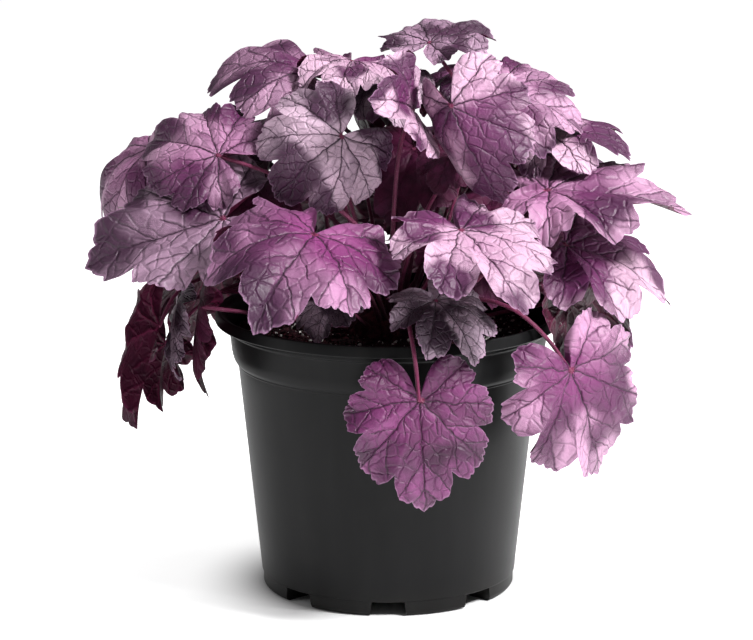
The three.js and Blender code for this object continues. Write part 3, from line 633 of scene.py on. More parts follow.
# %% Loose crumbs and perlite
PHI = (1 + 5 ** 0.5) / 2
BALL = np.array([(-1, PHI, 0), (1, PHI, 0), (-1, -PHI, 0), (1, -PHI, 0), (0, -1, PHI), (0, 1, PHI),
                 (0, -1, -PHI), (0, 1, -PHI), (PHI, 0, -1), (PHI, 0, 1), (-PHI, 0, -1), (-PHI, 0, 1)])
BALL = BALL / np.linalg.norm(BALL[0])
BALL_FACES = np.array([(0, 11, 5), (0, 5, 1), (0, 1, 7), (0, 7, 10), (0, 10, 11), (1, 5, 9), (5, 11, 4),
                       (11, 10, 2), (10, 7, 6), (7, 1, 8), (3, 9, 4), (3, 4, 2), (3, 2, 6), (3, 6, 8),
                       (3, 8, 9), (4, 9, 5), (2, 4, 11), (6, 2, 10), (8, 6, 7), (9, 8, 1)])


def crumbs(name, count, smallest, largest, material, flat):
    """Irregular twenty-sided grains scattered over the soil, more small ones than large."""
    points = []
    faces = []
    for k in range(count):
        reach = (SOIL_RADIUS - 2.5) * math.sqrt(random.uniform(0.05, 1.0))
        angle = random.uniform(0, 2 * math.pi)
        size = smallest + (largest - smallest) * random.uniform() ** 3
        grain = BALL * random.uniform(0.7, 1.3, (12, 1)) * size * random.uniform([0.6, 0.6, flat], 1.0)
        twist = random.uniform(0, 2 * math.pi)
        c, s = math.cos(twist), math.sin(twist)
        grain = grain @ np.array([(c, s, 0), (-s, c, 0), (0, 0, 1)])
        x, y = reach * math.cos(angle), reach * math.sin(angle)
        ground = SOIL_AT + 1.0 + SHEET_WAVE * float(bumps(x, y))
        points.append(grain + [x, y, ground + size * 0.35])
        faces.append(BALL_FACES + 12 * k)
    piece = mesh_object(name, np.vstack(points) * MM, [], np.vstack(faces), [material], np.zeros(20 * count))
    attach(piece, "root")
    return piece


grains = [
    crumbs("peat_crumbs", 2200, 0.5, 2.1, peat, 0.5),
    crumbs("bark_crumbs", 900, 0.7, 3.0, bark, 0.3),
    crumbs("perlite_grains", 900, 0.3, 1.5, perlite, 0.7),
]
smooth(grains[-1])
print("grains:", sum(len(piece.data.vertices) // 12 for piece in grains))

# %% [markdown]
# ## Crown
# The stalks all spring from a short woody crown, a knob of old leaf bases that stands a little out of the
# soil. A ball with ridges that wind round it is enough, because little of it shows between the stalks.

# %% Crown
CROWN_AT = 140.0
CROWN_RADIUS = 26.0
CROWN_RISE = 20.0
CROWN_ROWS = 46
CROWN_SPOKES = 96
crown_skin = earth("crown_skin", tint("2A0F16"), tint("6B3340"), 260.0)
tall = np.linspace(-90, 90, CROWN_ROWS + 2)[1:-1] * math.pi / 180
spokes = np.arange(CROWN_SPOKES)
a, e = np.meshgrid(spokes * 2 * np.pi / CROWN_SPOKES, tall)
scale = 1 - 0.03 + 0.02 * np.sin(9 * a + 7 * e) + 0.015 * np.sin(23 * a - 11 * e) + 0.01 * np.sin(31 * e)
ball = np.stack([np.cos(e) * np.cos(a), np.cos(e) * np.sin(a), np.sin(e)], -1) * scale[..., None]
ball = np.vstack([ball.reshape(-1, 3), [[0, 0, -0.97], [0, 0, 0.97]]])
points = ball * [CROWN_RADIUS, CROWN_RADIUS, CROWN_RISE] + [0, 0, CROWN_AT]
low, high = len(points) - 2, len(points) - 1
triangles = np.vstack([fan(low, spokes, inward=True), fan(high, low - CROWN_SPOKES + spokes)])
quads = grid_quads(CROWN_ROWS, CROWN_SPOKES, wrap=True)
slots = np.zeros(len(quads) + len(triangles))
crown = mesh_object("crown_knob", points * MM, quads, triangles, [crown_skin], slots)
smooth(crown)
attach(crown, "root")
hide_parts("crown")
print("crown:", 2 * CROWN_RADIUS, "mm across")

# %% [markdown]
# ## How a leaf is described
# Each leaf is a disc of seven lobes round the end of its stalk. A point of it is named by how far out it
# lies and by its angle from the tip. Fifty leaves could be sculpted one by one, but a row of numbers for
# each and one rule for all keeps them kin, and a leaf is moved by changing its row. The frame's plain
# leaves follow the same rows with fewer points, so the fine leaves lie on them.

# %% Places and bends of the leaves
RUFFLE = 0.05


def row(at, turn, length, droop, fold=8, side=1.0, ruffle=RUFFLE, young=False):
    """A leaf's row. Lengths are in mm and angles in degrees.

    at: where the stalk meets the blade. turn: heading of the tip (0 is +X, 90 is the back), its pitch and
    the roll about it. length: from the stalk to the tip. droop: of the tip, the sides and the basal lobes,
    and how much more on the left of a leaf that hangs tip down. fold: how far both sides stand up from the
    midrib. side: length of the side lobes against the usual one. ruffle: height of the waves as a share of
    the length. young: a small leaf inside the mound, with fewer points.
    """
    shape = dict(at=at, turn=turn, length=length, droop=droop)
    return dict(shape, fold=fold, side=side, ruffle=ruffle, young=young)


LEAVES = {
    "top_1": row((22, 29, 297), (56, 30, 3), 44, (45, 30, -60, 0)),
    "top_2": row((-20, 8, 290), (-100, 2, -6), 40, (45, 25, 20, 0), ruffle=0.09),
    "top_3": row((-41, 13, 281), (-168, 36, -22), 60, (85, 40, 18, -15)),
    "top_4": row((13, -33, 270), (-104, 22, -71), 44, (30, -6, 14, 0), fold=17, side=0.94),
    "top_5": row((33, -55, 276), (-37, -64, 70), 59, (39, 48, 30, 52), fold=-15, side=0.91),
    "top_6": row((-25, -44, 258), (-147, -33, -60), 49, (60, 30, 22, -12), fold=0, side=1.1),
    "top_7": row((60, 6, 274), (-17, -5, 31), 50, (45, 30, 20, 0)),
    "top_8": row((-31, 54, 264), (93, -6, 14), 54, (50, 28, 20, 0)),
    "top_9": row((45, 54, 264), (28, -7, -15), 50, (44, 34, 20, 0)),
    "upper_1": row((-91, -31, 245), (156, 17, -51), 56, (45, 28, 20, 10), side=0.84),
    "upper_2": row((-80, 35, 239), (168, -16, 3), 54, (45, 30, 20, 0)),
    "upper_3": row((85, 20, 249), (-28, 17, 13), 50, (56, 30, 20, 0)),
    "upper_4": row((86, -18, 224), (-7, 1, 16), 75, (12, 22, 16, 8), side=0.78),
    "upper_5": row((-55, 62, 248), (157, -10, 14), 62, (50, 26, 20, 0)),
    "upper_6": row((3, 86, 236), (104, -13, -6), 66, (42, 30, 20, 0), side=0.95),
    "upper_7": row((80, 60, 236), (25, -10, -7), 60, (50, 28, 20, 0)),
    "middle_1": row((-88, -47, 214), (-178, -17, -37), 76, (0, 8, 0, 5), fold=12, side=0.85),
    "middle_2": row((-39, -79, 212), (-108, -6, -18), 72, (46, 34, -10, 12), side=0.97),
    "middle_3": row((38, -74, 213), (-55, -20, 2), 62, (20, 18, 3, 0), fold=10, side=0.97),
    "middle_4": row((96, -10, 193), (-4, -13, 23), 68, (34, 28, 18, 0), side=0.86),
    "middle_5": row((-130, 8, 241), (175, -14, -25), 54, (80, 50, 20, 0)),
    "middle_6": row((-93, 58, 210), (153, -23, -21), 56, (40, 34, 20, 0)),
    "middle_7": row((-36, 104, 205), (102, -27, 8), 66, (46, 26, 20, 0)),
    "middle_8": row((37, 94, 202), (74, -23, -16), 62, (52, 30, 20, 0)),
    "middle_9": row((97, 50, 204), (20, -24, 26), 64, (42, 32, 20, 0), side=0.92),
    "lower_1": row((25, -74, 175), (-47, -24, 4), 40, (36, 16, 20, 0), side=1.05),
    "lower_2": row((-114, -18, 160), (-167, -76, 7), 40, (20, 30, 20, 0)),
    "lower_3": row((-123, -40, 154), (-115, -52, 79), 59, (2, 49, 33, -21), fold=34, side=0.9, ruffle=0.02),
    "lower_4": row((-101, -38, 164), (165, -80, -14), 50, (20, 50, 20, 0), side=0.85, ruffle=0.02),
    "lower_5": row((96, -26, 164), (-4, -61, -156), 44, (-30, 30, 20, 0), side=1, ruffle=0.02),
    "lower_6": row((-123, 8, 133), (-143, -70, 74), 37, (25, 43, 18, 0), fold=22, side=0.95, ruffle=0.02),
    "lower_7": row((-98, 60, 166), (138, -47, 14), 52, (36, 34, 20, 0)),
    "lower_8": row((-44, 104, 171), (113, -41, -9), 60, (44, 28, 20, 0)),
    "lower_9": row((33, 109, 164), (74, -51, 3), 56, (36, 32, 20, 0)),
    "lower_10": row((102, 54, 161), (27, -39, -7), 60, (42, 28, 20, 0)),
    "hanging_1": row((16, -106, 129), (-75, -76, 11), 57, (16, 20, 14, 0), fold=5, side=0.92),
    "hanging_2": row((97, -56, 133), (28, -67, 83), 66, (12, 22, 12, 0), side=0.9),
    "hanging_3": row((-14, 112, 126), (99, -74, 6), 56, (14, 22, 10, 0)),
    "young_1": row((-30, -50, 172), (-117, -27, 5), 28, (30, 25, 20, 0), young=True),
    "young_2": row((34, -17, 244), (-124, -43, -23), 24, (20, 20, 20, 0), young=True),
    "inner_1": row((14, 12, 241), (-115, -39, -6), 46, (35, 25, 20, 0), young=True),
    "inner_2": row((65, -1, 220), (-48, -23, 17), 42, (30, 30, 20, 0), young=True),
    "inner_3": row((-65, -15, 231), (-119, -30, 5), 42, (35, 30, 20, 0), young=True),
    "inner_4": row((-14, 37, 230), (103, 2, 10), 38, (35, 30, 20, 0), young=True),
    "inner_5": row((34, 45, 234), (39, -30, -21), 44, (35, 30, 20, 0), young=True),
    "top_10": row((-1, 24, 280), (-84, -14, 5), 36, (45, 30, 20, 0), ruffle=0.08),
    "top_11": row((41, 46, 280), (-60, 1, 12), 40, (45, 30, 20, 0)),
    "middle_10": row((-95, 6, 212), (-168, -34, -11), 48, (40, 30, 20, 0)),
    "inner_6": row((43, -14, 197), (-65, -29, 4), 42, (35, 25, 20, 0), young=True),
    "inner_7": row((-40, -22, 196), (-121, -25, 1), 42, (35, 25, 20, 0), young=True),
}
print("leaves:", len(LEAVES))

# %% [markdown]
# ## Outline of a blade
# Seven lobes spread like fingers, the outer pair rounded into the heart-shaped base, and each lobe carries
# broad teeth with small scallops on them. It could be drawn by hand as a curve, but a formula of the angle
# gives every leaf its outline at any fineness, and the same angle later says where the veins run.

# %% Outline of a leaf
LOBE_AT = np.radians([-126, -84, -44, 0, 44, 84, 126])
LOBE_LENGTH = np.array([0.60, 0.74, 0.86, 1.0, 0.86, 0.74, 0.60])
HEART = math.radians(162)
HEART_LENGTH = 0.16
LOBE_CUT = 0.19
LOBE_SQUARENESS = 4
TOOTH = 0.045
TOOTH_VALLEY = 0.36
TOOTH_MIDDLE = 0.68
TOOTH_HALF = 0.32
SCALLOP = 0.03
SCALLOPS = 4.5
SINUS = (LOBE_AT[1:] + LOBE_AT[:-1]) / 2


def outline(angle, side):
    """Reach at an angle as a share of the length, and the way off a lobe's middle: 0 there, 1 in the cut."""
    lobe = np.searchsorted(SINUS, angle)
    low = np.r_[-HEART, SINUS][lobe]
    high = np.r_[SINUS, HEART][lobe]
    middle = LOBE_AT[lobe]
    across = np.where(angle < middle, (angle - middle) / (middle - low), (angle - middle) / (high - middle))
    lengths = np.where(LOBE_AT == 0, 1.0, LOBE_LENGTH * side)
    reach = np.interp(angle, LOBE_AT, lengths)
    spread = np.abs(across)
    basal = ((lobe == 0) & (across < 0)) | ((lobe == 6) & (across > 0))
    round_off = np.sqrt(np.clip(1 - spread ** 2.2, 0, 1))
    heart = HEART_LENGTH + (1 - HEART_LENGTH) * round_off
    shape = np.where(basal, heart, 1 - LOBE_CUT * spread ** LOBE_SQUARENESS)
    return reach * shape, spread


def teeth(spread, waves):
    """Broad teeth, and small scallops on them that are deeper on a wavier leaf."""
    beside = np.abs((spread - TOOTH_MIDDLE) / TOOTH_HALF)
    broad = np.where(spread < TOOTH_VALLEY, spread / TOOTH_VALLEY, beside)
    small = np.abs((spread * SCALLOPS + 0.5) % 1.0 - 0.5) * 2
    return 1 + TOOTH * (0.5 - broad ** 1.5) + SCALLOP * waves * (0.5 - small ** 2.2)


print("reach at the tip and at the heart:", outline(np.array([0.0, HEART]), 1.0)[0].round(2))

# %% [markdown]
# ## Surface of a blade
# A coral bells leaf is never flat. Its tip, sides and base droop, its lobes are creased along their veins,
# the edge is ruffled in waves of three sizes, and the panels between the veins puff up like a quilt.
# A cloth simulation could find such a shape, but it is slow and hard to steer; here each of these is a
# term of one sum, so each can be judged and changed by itself.

# %% Surface of a leaf
QUILT = 0.10
TIP_CURL = 0.045
RUFFLE_WAVES = 7
RUFFLE_GAIN = 1.25
SMALL_WAVES, SMALL_RUFFLE = 17, 0.020
EDGE_WAVES, EDGE_RUFFLE = 37, 0.010
CRUMPLE = 0.009
CRUMPLES_ACROSS, CRUMPLES_ALONG = 11, 13
VEIN_STEP = 0.24
VEIN_SLANT = 1.1
VEIN_BEND = 0.35
VEIN_SQUARE = 0.7
LOBE_PUFF, LOBE_VALLEY = 0.008, 0.03
PANEL_PUFF, PANEL_VALLEY = 0.007, 0.05
ALMOST_FLAT = 1e-6


def vein_field(distance, angle, seed):
    """How far it is to the nearest main vein and to the nearest side vein, as shares of the length."""
    lobe = np.searchsorted(SINUS, angle)
    off = angle - LOBE_AT[lobe]
    along = distance * np.cos(off)
    across = np.abs(distance * np.sin(off))
    branch = (along - VEIN_SLANT * across - VEIN_BEND * across ** 2) / VEIN_STEP + 0.5 * (off > 0) + seed
    side_vein = np.abs(branch % 1.0 - 0.5) * VEIN_STEP * VEIN_SQUARE
    return across, side_vein


def surface(share, angle, leaf, seed):
    """Points of the middle surface, in mm along the leaf's own axes, and their places in its flat plan."""
    length = leaf["length"]
    reach, spread = outline(angle, leaf["side"])
    waves = leaf["ruffle"] / RUFFLE
    edge = reach * teeth(spread, min(waves, 1.0)) * length
    distance = share * edge
    tip, sides, base, left = np.radians(leaf["droop"])
    cosine, sine = np.cos(angle), np.sin(angle)
    bend = tip * (0.5 + 0.5 * cosine) ** 1.5 + sides * sine ** 2
    bend = bend + base * (0.5 - 0.5 * cosine) ** 1.5 + left * sine
    rise = np.radians(leaf["fold"]) * np.abs(sine)
    turned = bend * distance / length
    turned = np.where(np.abs(turned) < ALMOST_FLAT, ALMOST_FLAT, turned)
    outward = distance * (np.sin(rise) - np.sin(rise - turned)) / turned
    height = distance * (np.cos(rise - turned) - np.cos(rise)) / turned
    height = height + QUILT * distance * (spread ** 1.5 - 0.35) * np.minimum(1, share * 1.5) * share
    height = height + leaf["ruffle"] * RUFFLE_GAIN * length * share ** 3 * np.sin(RUFFLE_WAVES * angle)
    height = height + SMALL_RUFFLE * waves * length * share ** 4 * np.sin(SMALL_WAVES * angle + 9 * seed)
    height = height + EDGE_RUFFLE * waves * length * share ** 6 * np.sin(EDGE_WAVES * angle + 5 * seed)
    height = height - TIP_CURL * length * share ** 5 * (1 - spread ** 2)
    plan = distance / length
    crumple = np.sin(CRUMPLES_ACROSS * plan * sine + 40 * seed)
    crumple = crumple * np.sin(CRUMPLES_ALONG * plan * cosine + 23 * seed)
    height = height + CRUMPLE * waves * length * crumple * np.minimum(1, share * 2)
    main, branch = vein_field(plan, angle, seed)
    puffed = LOBE_PUFF * (1 - np.exp(-(main / LOBE_VALLEY) ** 2))
    beside = np.minimum(branch / PANEL_VALLEY, 1) * np.minimum(main / PANEL_VALLEY, 1)
    puffed = puffed + PANEL_PUFF * beside
    height = height + puffed * waves * length * np.minimum(1, share * 4) * (1 - share ** 4)
    points = np.stack([outward * sine, outward * cosine, height], -1)
    return points, np.stack([plan * sine, plan * cosine], -1)


def axes(leaf):
    """The leaf's own axes: side, tip, upper face."""
    heading, pitch, roll = np.radians(leaf["turn"])
    tip = np.array([np.cos(heading) * np.cos(pitch), np.sin(heading) * np.cos(pitch), np.sin(pitch)])
    face = np.array([-np.cos(heading) * np.sin(pitch), -np.sin(heading) * np.sin(pitch), np.cos(pitch)])
    face = face * np.cos(roll) + np.cross(tip, face) * np.sin(roll)
    return np.array([np.cross(tip, face), tip, face])


print("tip of a level leaf points along", axes({"turn": (0, 0, 0)})[1].round(2))

# %% [markdown]
# ## Two skins
# A blade is thin but it isn't a sheet of paper: its upper and lower faces have their own colours and meet
# in a fine edge. The solidify modifier could thicken one sheet, but its rim would be square. Two skins half
# a thickness off the middle surface, drawn together at the edge, give the sharp rim of a real leaf.

# %% Blade: an upper and a lower skin that meet at the edge
GROWN_GRID = (16, 225)
YOUNG_GRID = (12, 161)
BLADE_HALF = 0.28
EDGE_TAPER = 9
SINUS_TAPER = 0.06


def blade(leaf, seed):
    """Points of both skins, each skin's squares and triangles, the flat plan, and how near the edge."""
    rings, angles = YOUNG_GRID if leaf["young"] else GROWN_GRID
    share = np.linspace(0, 1, rings + 1)[1:]
    angle = np.linspace(-HEART, HEART, angles)
    w, a = np.meshgrid(share, angle, indexing="ij")
    points, plan = surface(w, a, leaf, seed)
    along = np.gradient(points, axis=0)
    across = np.gradient(points, axis=1)
    normal = np.cross(across, along)
    normal = normal / np.linalg.norm(normal, axis=-1, keepdims=True)
    thin = np.minimum(1, (1 - w) * EDGE_TAPER) * np.minimum(1, (HEART - np.abs(a)) / SINUS_TAPER)
    offset = normal * (BLADE_HALF * thin)[..., None]
    count = rings * angles
    centre = np.array([[0, 0, 0.0]])
    skins = [np.vstack([(points + k * offset).reshape(-1, 3), centre]) for k in (1, -1)]
    quads = grid_quads(rings, angles)
    wedges = np.stack([np.full(angles - 1, count), np.arange(1, angles), np.arange(angles - 1)], 1)
    upper = (quads, wedges[:, ::-1])
    lower = (quads[:, ::-1] + count + 1, wedges + count + 1)
    plan = np.vstack([plan.reshape(-1, 2), [[0, 0]]])
    edge = np.r_[w.ravel(), 0]
    return np.vstack(skins), upper, lower, plan, edge


print("faces on one skin of a grown leaf:", GROWN_GRID[0] * (GROWN_GRID[1] - 1))

# %% [markdown]
# ## Stalks
# Each stalk leaves the crown, winds between the others and ends at the heart of its blade. A curve with a
# round bevel could draw it, but a stalk belongs to the same mesh as its blade. So the bends are read from
# the frame's plain stalk, a smooth path is laid through them, and rings of points are set along it.

# %% Stalk: a soft tube from the crown to the blade
STALK_SIDES = 10
STALK_STEPS = 26
STALK_RADIUS = 1.25
STALK_TAPER = 0.12
FOOT_SWELL, FOOT_FADE = 0.5, 14
STALK_ROOT = 1.6
STALK_TOP = 0.5
PLAIN_SIDES = 5
PLAIN_STEPS = 5
ASLANT = (0.3, 0.2, 0.93)


def stalk_bends(name, leaf):
    """The bends of the frame's plain stalk: the middles of its rings, from the crown to the blade."""
    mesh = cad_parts[f"leaf_{name}"].data
    corners = np.array([vertex.co for vertex in mesh.vertices]) / MM
    points, welded = np.unique(corners.round(2), axis=0, return_inverse=True)
    beside = [set() for _ in points]
    for edge in mesh.edges:
        one, other = welded[list(edge.vertices)]
        beside[one].add(other)
        beside[other].add(one)
    from_crown = (points - [0, 0, CROWN_AT]) / [CROWN_RADIUS, CROWN_RADIUS, CROWN_RISE]
    ring = set(np.argsort(np.linalg.norm(from_crown, axis=1))[:PLAIN_SIDES])
    passed = set()
    middles = []
    while len(ring) <= PLAIN_SIDES + 2 and len(middles) < PLAIN_STEPS:
        middles.append(points[list(ring)].mean(0))
        passed |= ring
        ring = set().union(*(beside[point] for point in ring)) - passed
    return np.array([*middles, leaf["at"]], float)


def smooth_path(bends, count):
    """A curve through all the bends, that starts a little inside the crown and ends inside the blade."""
    bends[0] += (bends[0] - bends[1]) / np.linalg.norm(bends[0] - bends[1]) * STALK_ROOT
    bends[-1] += (bends[-1] - bends[-2]) / np.linalg.norm(bends[-1] - bends[-2]) * STALK_TOP
    guides = np.vstack([2 * bends[0] - bends[1], bends, 2 * bends[-1] - bends[-2]])
    travelled = np.r_[0, np.cumsum(np.linalg.norm(np.diff(bends, axis=0), axis=1))]
    place = np.interp(np.linspace(0, travelled[-1], count), travelled, np.arange(len(bends)))
    piece = np.minimum(place.astype(int), len(bends) - 2)
    t = (place - piece)[:, None]
    p0, p1, p2, p3 = (guides[piece + k] for k in range(4))
    return p1 + 0.5 * t * (p2 - p0 + t * (2 * p0 - 5 * p1 + 4 * p2 - p3 + t * (3 * (p1 - p2) + p3 - p0)))


def stalk(name, leaf):
    """Points, squares and triangles of the tube, and each point's place along it and round it."""
    path = smooth_path(stalk_bends(name, leaf), STALK_STEPS)
    ahead = np.gradient(path, axis=0)
    ahead = ahead / np.linalg.norm(ahead, axis=1, keepdims=True)
    first = np.cross(ahead[0], ASLANT)
    frames = []
    for direction in ahead:
        first = first - direction * (first @ direction)
        first = first / np.linalg.norm(first)
        frames.append((first, np.cross(direction, first)))
    ring = np.arange(STALK_SIDES) * 2 * np.pi / STALK_SIDES
    travelled = np.linspace(0, 1, STALK_STEPS)
    radius = STALK_RADIUS * (1 - STALK_TAPER * travelled) + FOOT_SWELL * np.exp(-travelled * FOOT_FADE)
    points = [
        p + r * (np.cos(ring)[:, None] * u + np.sin(ring)[:, None] * v)
        for p, r, (u, v) in zip(path, radius, frames)
    ]
    points = np.vstack(points + [path[:1], path[-1:]])
    quads = grid_quads(STALK_STEPS, STALK_SIDES, wrap=True)
    turn = np.arange(STALK_SIDES)
    low, high = len(points) - 2, len(points) - 1
    triangles = np.vstack([fan(low, turn, inward=True), fan(high, low - STALK_SIDES + turn)])
    u = np.r_[np.repeat(travelled, STALK_SIDES), 0, 1]
    v = np.r_[np.tile(turn / STALK_SIDES, STALK_STEPS), 0.5, 0.5]
    return points, quads, triangles, np.stack([u, v], 1)


print("points in a stalk:", STALK_STEPS * STALK_SIDES + 2)

# %% [markdown]
# ## The veins as a sum
# Seven main veins run out from the stalk; on each side of them side veins leave at a slant, a step apart,
# and a mesh of fine ones fills the rest. A painted leaf picture could show them, but then all leaves would
# be alike. Here the pattern is a sum over the leaf's own plan, so it follows every bend and differs from
# leaf to leaf, and the same distances give the dark lines, the pale panels and the quilting.

# %% Leaf pattern
PLAN_ZOOM = 0.4
SWAY = 0.12
TREMBLE = 0.05
MAIN_WIDTH = 0.0042
SIDE_WIDTH = 0.0014
NET_COARSE = 9.0
NET_FINE = 22.0


def leaf_pattern(start):
    """Signals shared by both faces of a blade. Distances are shares of the leaf's length."""
    plan = start.make("ShaderNodeUVMap", {"uv_map": "LeafPlan"})
    look = start.layer("look", out=1)
    seed = start.layer("seed")
    u, v = plan.part(0), plan.part(1)
    spot = start.vector(u, v, seed * 7.3)
    sway_x = start.noise(spot, 5.0, 2.0) - 0.5
    sway_y = start.noise(spot, 6.1, 2.0) - 0.5
    fine_x = start.noise(spot, 24.0, 2.0) - 0.5
    fine_y = start.noise(spot, 28.0, 2.0) - 0.5
    x = (u - 0.5) / PLAN_ZOOM + SWAY * sway_x + TREMBLE * fine_x
    y = (v - 0.5) / PLAN_ZOOM + SWAY * sway_y + TREMBLE * fine_y

    distance = (x * x + y * y) ** 0.5
    angle = start.sum("ARCTAN2", x, y)
    turned = start.sum("ABSOLUTE", angle)
    lobe = turned.above(SINUS[3]) * LOBE_AT[4] + turned.above(SINUS[4]) * (LOBE_AT[5] - LOBE_AT[4])
    lobe = lobe + turned.above(SINUS[5]) * (LOBE_AT[6] - LOBE_AT[5])
    off = turned - lobe
    along = distance * start.sum("COSINE", off)
    across = start.sum("ABSOLUTE", distance * start.sum("SINE", off))

    branch = (along - VEIN_SLANT * across - VEIN_BEND * across * across) / VEIN_STEP
    branch = branch + 0.5 * off.above(0.0) + seed
    side = start.sum("ABSOLUTE", start.sum("FRACT", branch) - 0.5) * (VEIN_STEP * VEIN_SQUARE)
    reaches = (along - across).ease(0.05, 0.2) * (across / (along.most(0.01) * 0.40)).ease(1.15, 0.75)
    side = side + (1 - reaches) * 0.1
    step = start.sum("FLOOR", branch + 0.5)
    half = lobe * 5 + off.above(0.0) * 0.4 + angle.above(0.0)
    chance = start.make("ShaderNodeTexWhiteNoise", None, {0: start.vector(step, half, seed)})

    cell = start.vector(x + 3.1 * seed, y - 1.7 * seed)
    edges = {"feature": "DISTANCE_TO_EDGE", "voronoi_dimensions": "2D"}
    coarse = start.make("ShaderNodeTexVoronoi", edges, {"Vector": cell, "Scale": NET_COARSE})
    fine = start.make("ShaderNodeTexVoronoi", edges, {"Vector": cell, "Scale": NET_FINE})

    thin = 1.15 - distance
    return SimpleNamespace(
        spot=spot,
        distance=distance,
        across=across,
        side=side,
        coarse=coarse,
        fine=fine,
        pale=look.part(0),
        grey=look.part(1),
        dark=look.part(2),
        edge=start.layer("edge"),
        flush=start.layer("flush"),
        panel=0.5 + (chance - 0.5) * reaches,
        main_line=(across - MAIN_WIDTH * thin).ease(0.0030, -0.0024),
        side_line=(side - SIDE_WIDTH * thin).ease(0.0028, -0.0014),
        net_line=coarse.ease(0.022, 0.003),
        fine_line=fine.ease(0.05, 0.0),
    )


print("side veins leave a main vein every", VEIN_STEP, "of the length")

# %% [markdown]
# ## Upper face
# The upper skin is plum with a silvery bloom between the veins. The bloom comes and goes from panel to
# panel and in broad sweeps, partly the leaf's own patchy silver and partly painted light and shade, as
# panels turned to and from the lamp would show; the veins are a dark greyed plum with a narrow halo, and
# where they meet the blade may be flushed with magenta. Each of these is laid over the last with its own
# mask. The wine-red leaves, and the leaves deep in the shade that are painted the same wine red as painted
# shade, share the sums but have a duller gloss, so they get a second material.

# %% Upper face
def upper_face(name, gloss):
    material, shader, start = new_material(name, Specular_IOR_Level=gloss)
    p = leaf_pattern(start)
    vein = p.across.least(p.side * 1.25)
    mottle = start.noise(p.spot, 11.0, 4.0, 0.6)
    grain_and_glint = start.noise(p.spot, 190.0, 3.0, 0.6)
    patch = start.noise(p.spot, 3.2, 2.0)
    sweep = start.noise(p.spot, 4.0, 1.0)

    broken = start.noise(p.spot, 16.0, 1.0).ease(0.38, 0.6, 0.35, 1.0)
    shine = mottle.ease(0.25, 0.7, 0.55, 1.1)
    bloom = vein.ease(0.0, 0.014, 0.4, 1.0) * (0.85 + 0.15 * p.coarse.ease(0.0, 0.1))
    # Partly painted light and shade: the sweeps and the panels make some panels lighter and some darker, as
    # facets turned to and from the lamp would look, on top of the leaf's own patchy silver.
    bloom = bloom * sweep.ease(0.4, 0.56, 0.1, 1.05) * (0.45 + p.panel) * shine
    bloom = bloom * (0.46 + 0.6 * p.pale)
    plum = p.pale.choose(tint("2E082A"), tint("481840"))
    silver = p.pale.choose(tint("984C88"), tint("D0AAC2"))
    # The fine grain is also painted into the colour as small pale specks: painted glints of light on the
    # satin surface.
    colour = (bloom + 0.16 * (grain_and_glint - 0.5)).ease(0.0, 1.0).choose(plum, silver)
    flush = p.distance.ease(0.9, 0.1) * patch.ease(0.35, 0.6, 0.3, 1.0) * p.flush
    colour = (flush * 0.7).choose(colour, tint("963A80"))
    ashen = (1.5 * bloom + 0.3 * (mottle - 0.5)).ease(0.0, 1.0).choose(tint("30242F"), tint("AC9CAA"))
    colour = (p.grey * 0.8).choose(colour, ashen)

    halo = vein.ease(0.011, 0.0)
    colour = (halo * 0.28).choose(colour, p.pale.choose(tint("3A1C36"), tint("6A4A64")))
    colour = (p.fine_line * 0.10).choose(colour, tint("40203C"))
    colour = (p.net_line * broken * 0.5).choose(colour, tint("3E2039"))
    colour = (p.side_line * 0.7).choose(colour, tint("3A1C34"))
    colour = (p.main_line * 0.85).choose(colour, tint("30182C"))
    colour = p.distance.ease(0.04, 0.015).choose(colour, tint("7A1E4A"))
    colour = (p.edge.ease(0.97, 1.0) * 0.5).choose(colour, tint("AC80A4"))
    # Dark wine red: the own colour of the wine leaves, and painted shade on the leaves deep inside the mound.
    wine = mottle.ease(0.3, 0.7).choose(tint("2A0418"), tint("480C2C"))
    colour = (p.dark * 0.94).choose(colour, wine)
    feed(shader, Base_Color=colour)
    feed(shader, Roughness=0.43 + 0.14 * mottle + 0.08 * p.net_line + 0.1 * p.dark)

    puff = 0.8 * vein.ease(0.0, 0.02) + 0.6 * p.coarse.ease(0.0, 0.16)
    puff = puff + 0.1 * p.fine.ease(0.0, 0.3) + 0.16 * grain_and_glint
    puff = (puff - 0.3 * p.main_line) * (1 - 0.7 * p.dark)
    feed(shader, Normal=bump(start, puff, 0.0008))
    return material


UPPER_SKIN = upper_face("leaf_upper", 0.5)
SHADED_SKIN = upper_face("leaf_shaded", 0.2)
print("nodes in an upper face:", len(UPPER_SKIN.node_tree.nodes))

# %% [markdown]
# ## Lower face and stalk
# Seen from below a leaf is a dark wine red with a satin gloss, and its veins stand out as ridges. The
# same pattern serves, with its heights turned over. The stalks are crimson with streaks along them, darker
# at the foot, and finely haired; real hairs would be lost at this size, so a pale speckle stands for them.

# %% Lower face and stalk
def lower_face():
    material, shader, start = new_material("leaf_lower", Specular_IOR_Level=0.35)
    p = leaf_pattern(start)
    near = p.across.least(p.side * 1.25)
    mottle = start.noise(p.spot, 8.0, 4.0, 0.6)
    colour = mottle.ease(0.3, 0.75).choose(tint("2C0419"), tint("480A29"))
    colour = (near.ease(0.03, 0.0) * 0.4).choose(colour, tint("5E1838"))
    colour = (p.main_line * 0.7).choose(colour, tint("6E2244"))
    colour = (p.side_line * 0.5).choose(colour, tint("5C1C3C"))
    colour = (p.edge.ease(0.93, 1.0) * 0.5).choose(colour, tint("7A3058"))
    feed(shader, Base_Color=colour)
    feed(shader, Roughness=0.38 + 0.18 * mottle)
    ridge = 0.0 - near.ease(0.0, 0.045) - 0.4 * p.coarse.ease(0.0, 0.2)
    feed(shader, Normal=bump(start, ridge, 0.0006))
    return material


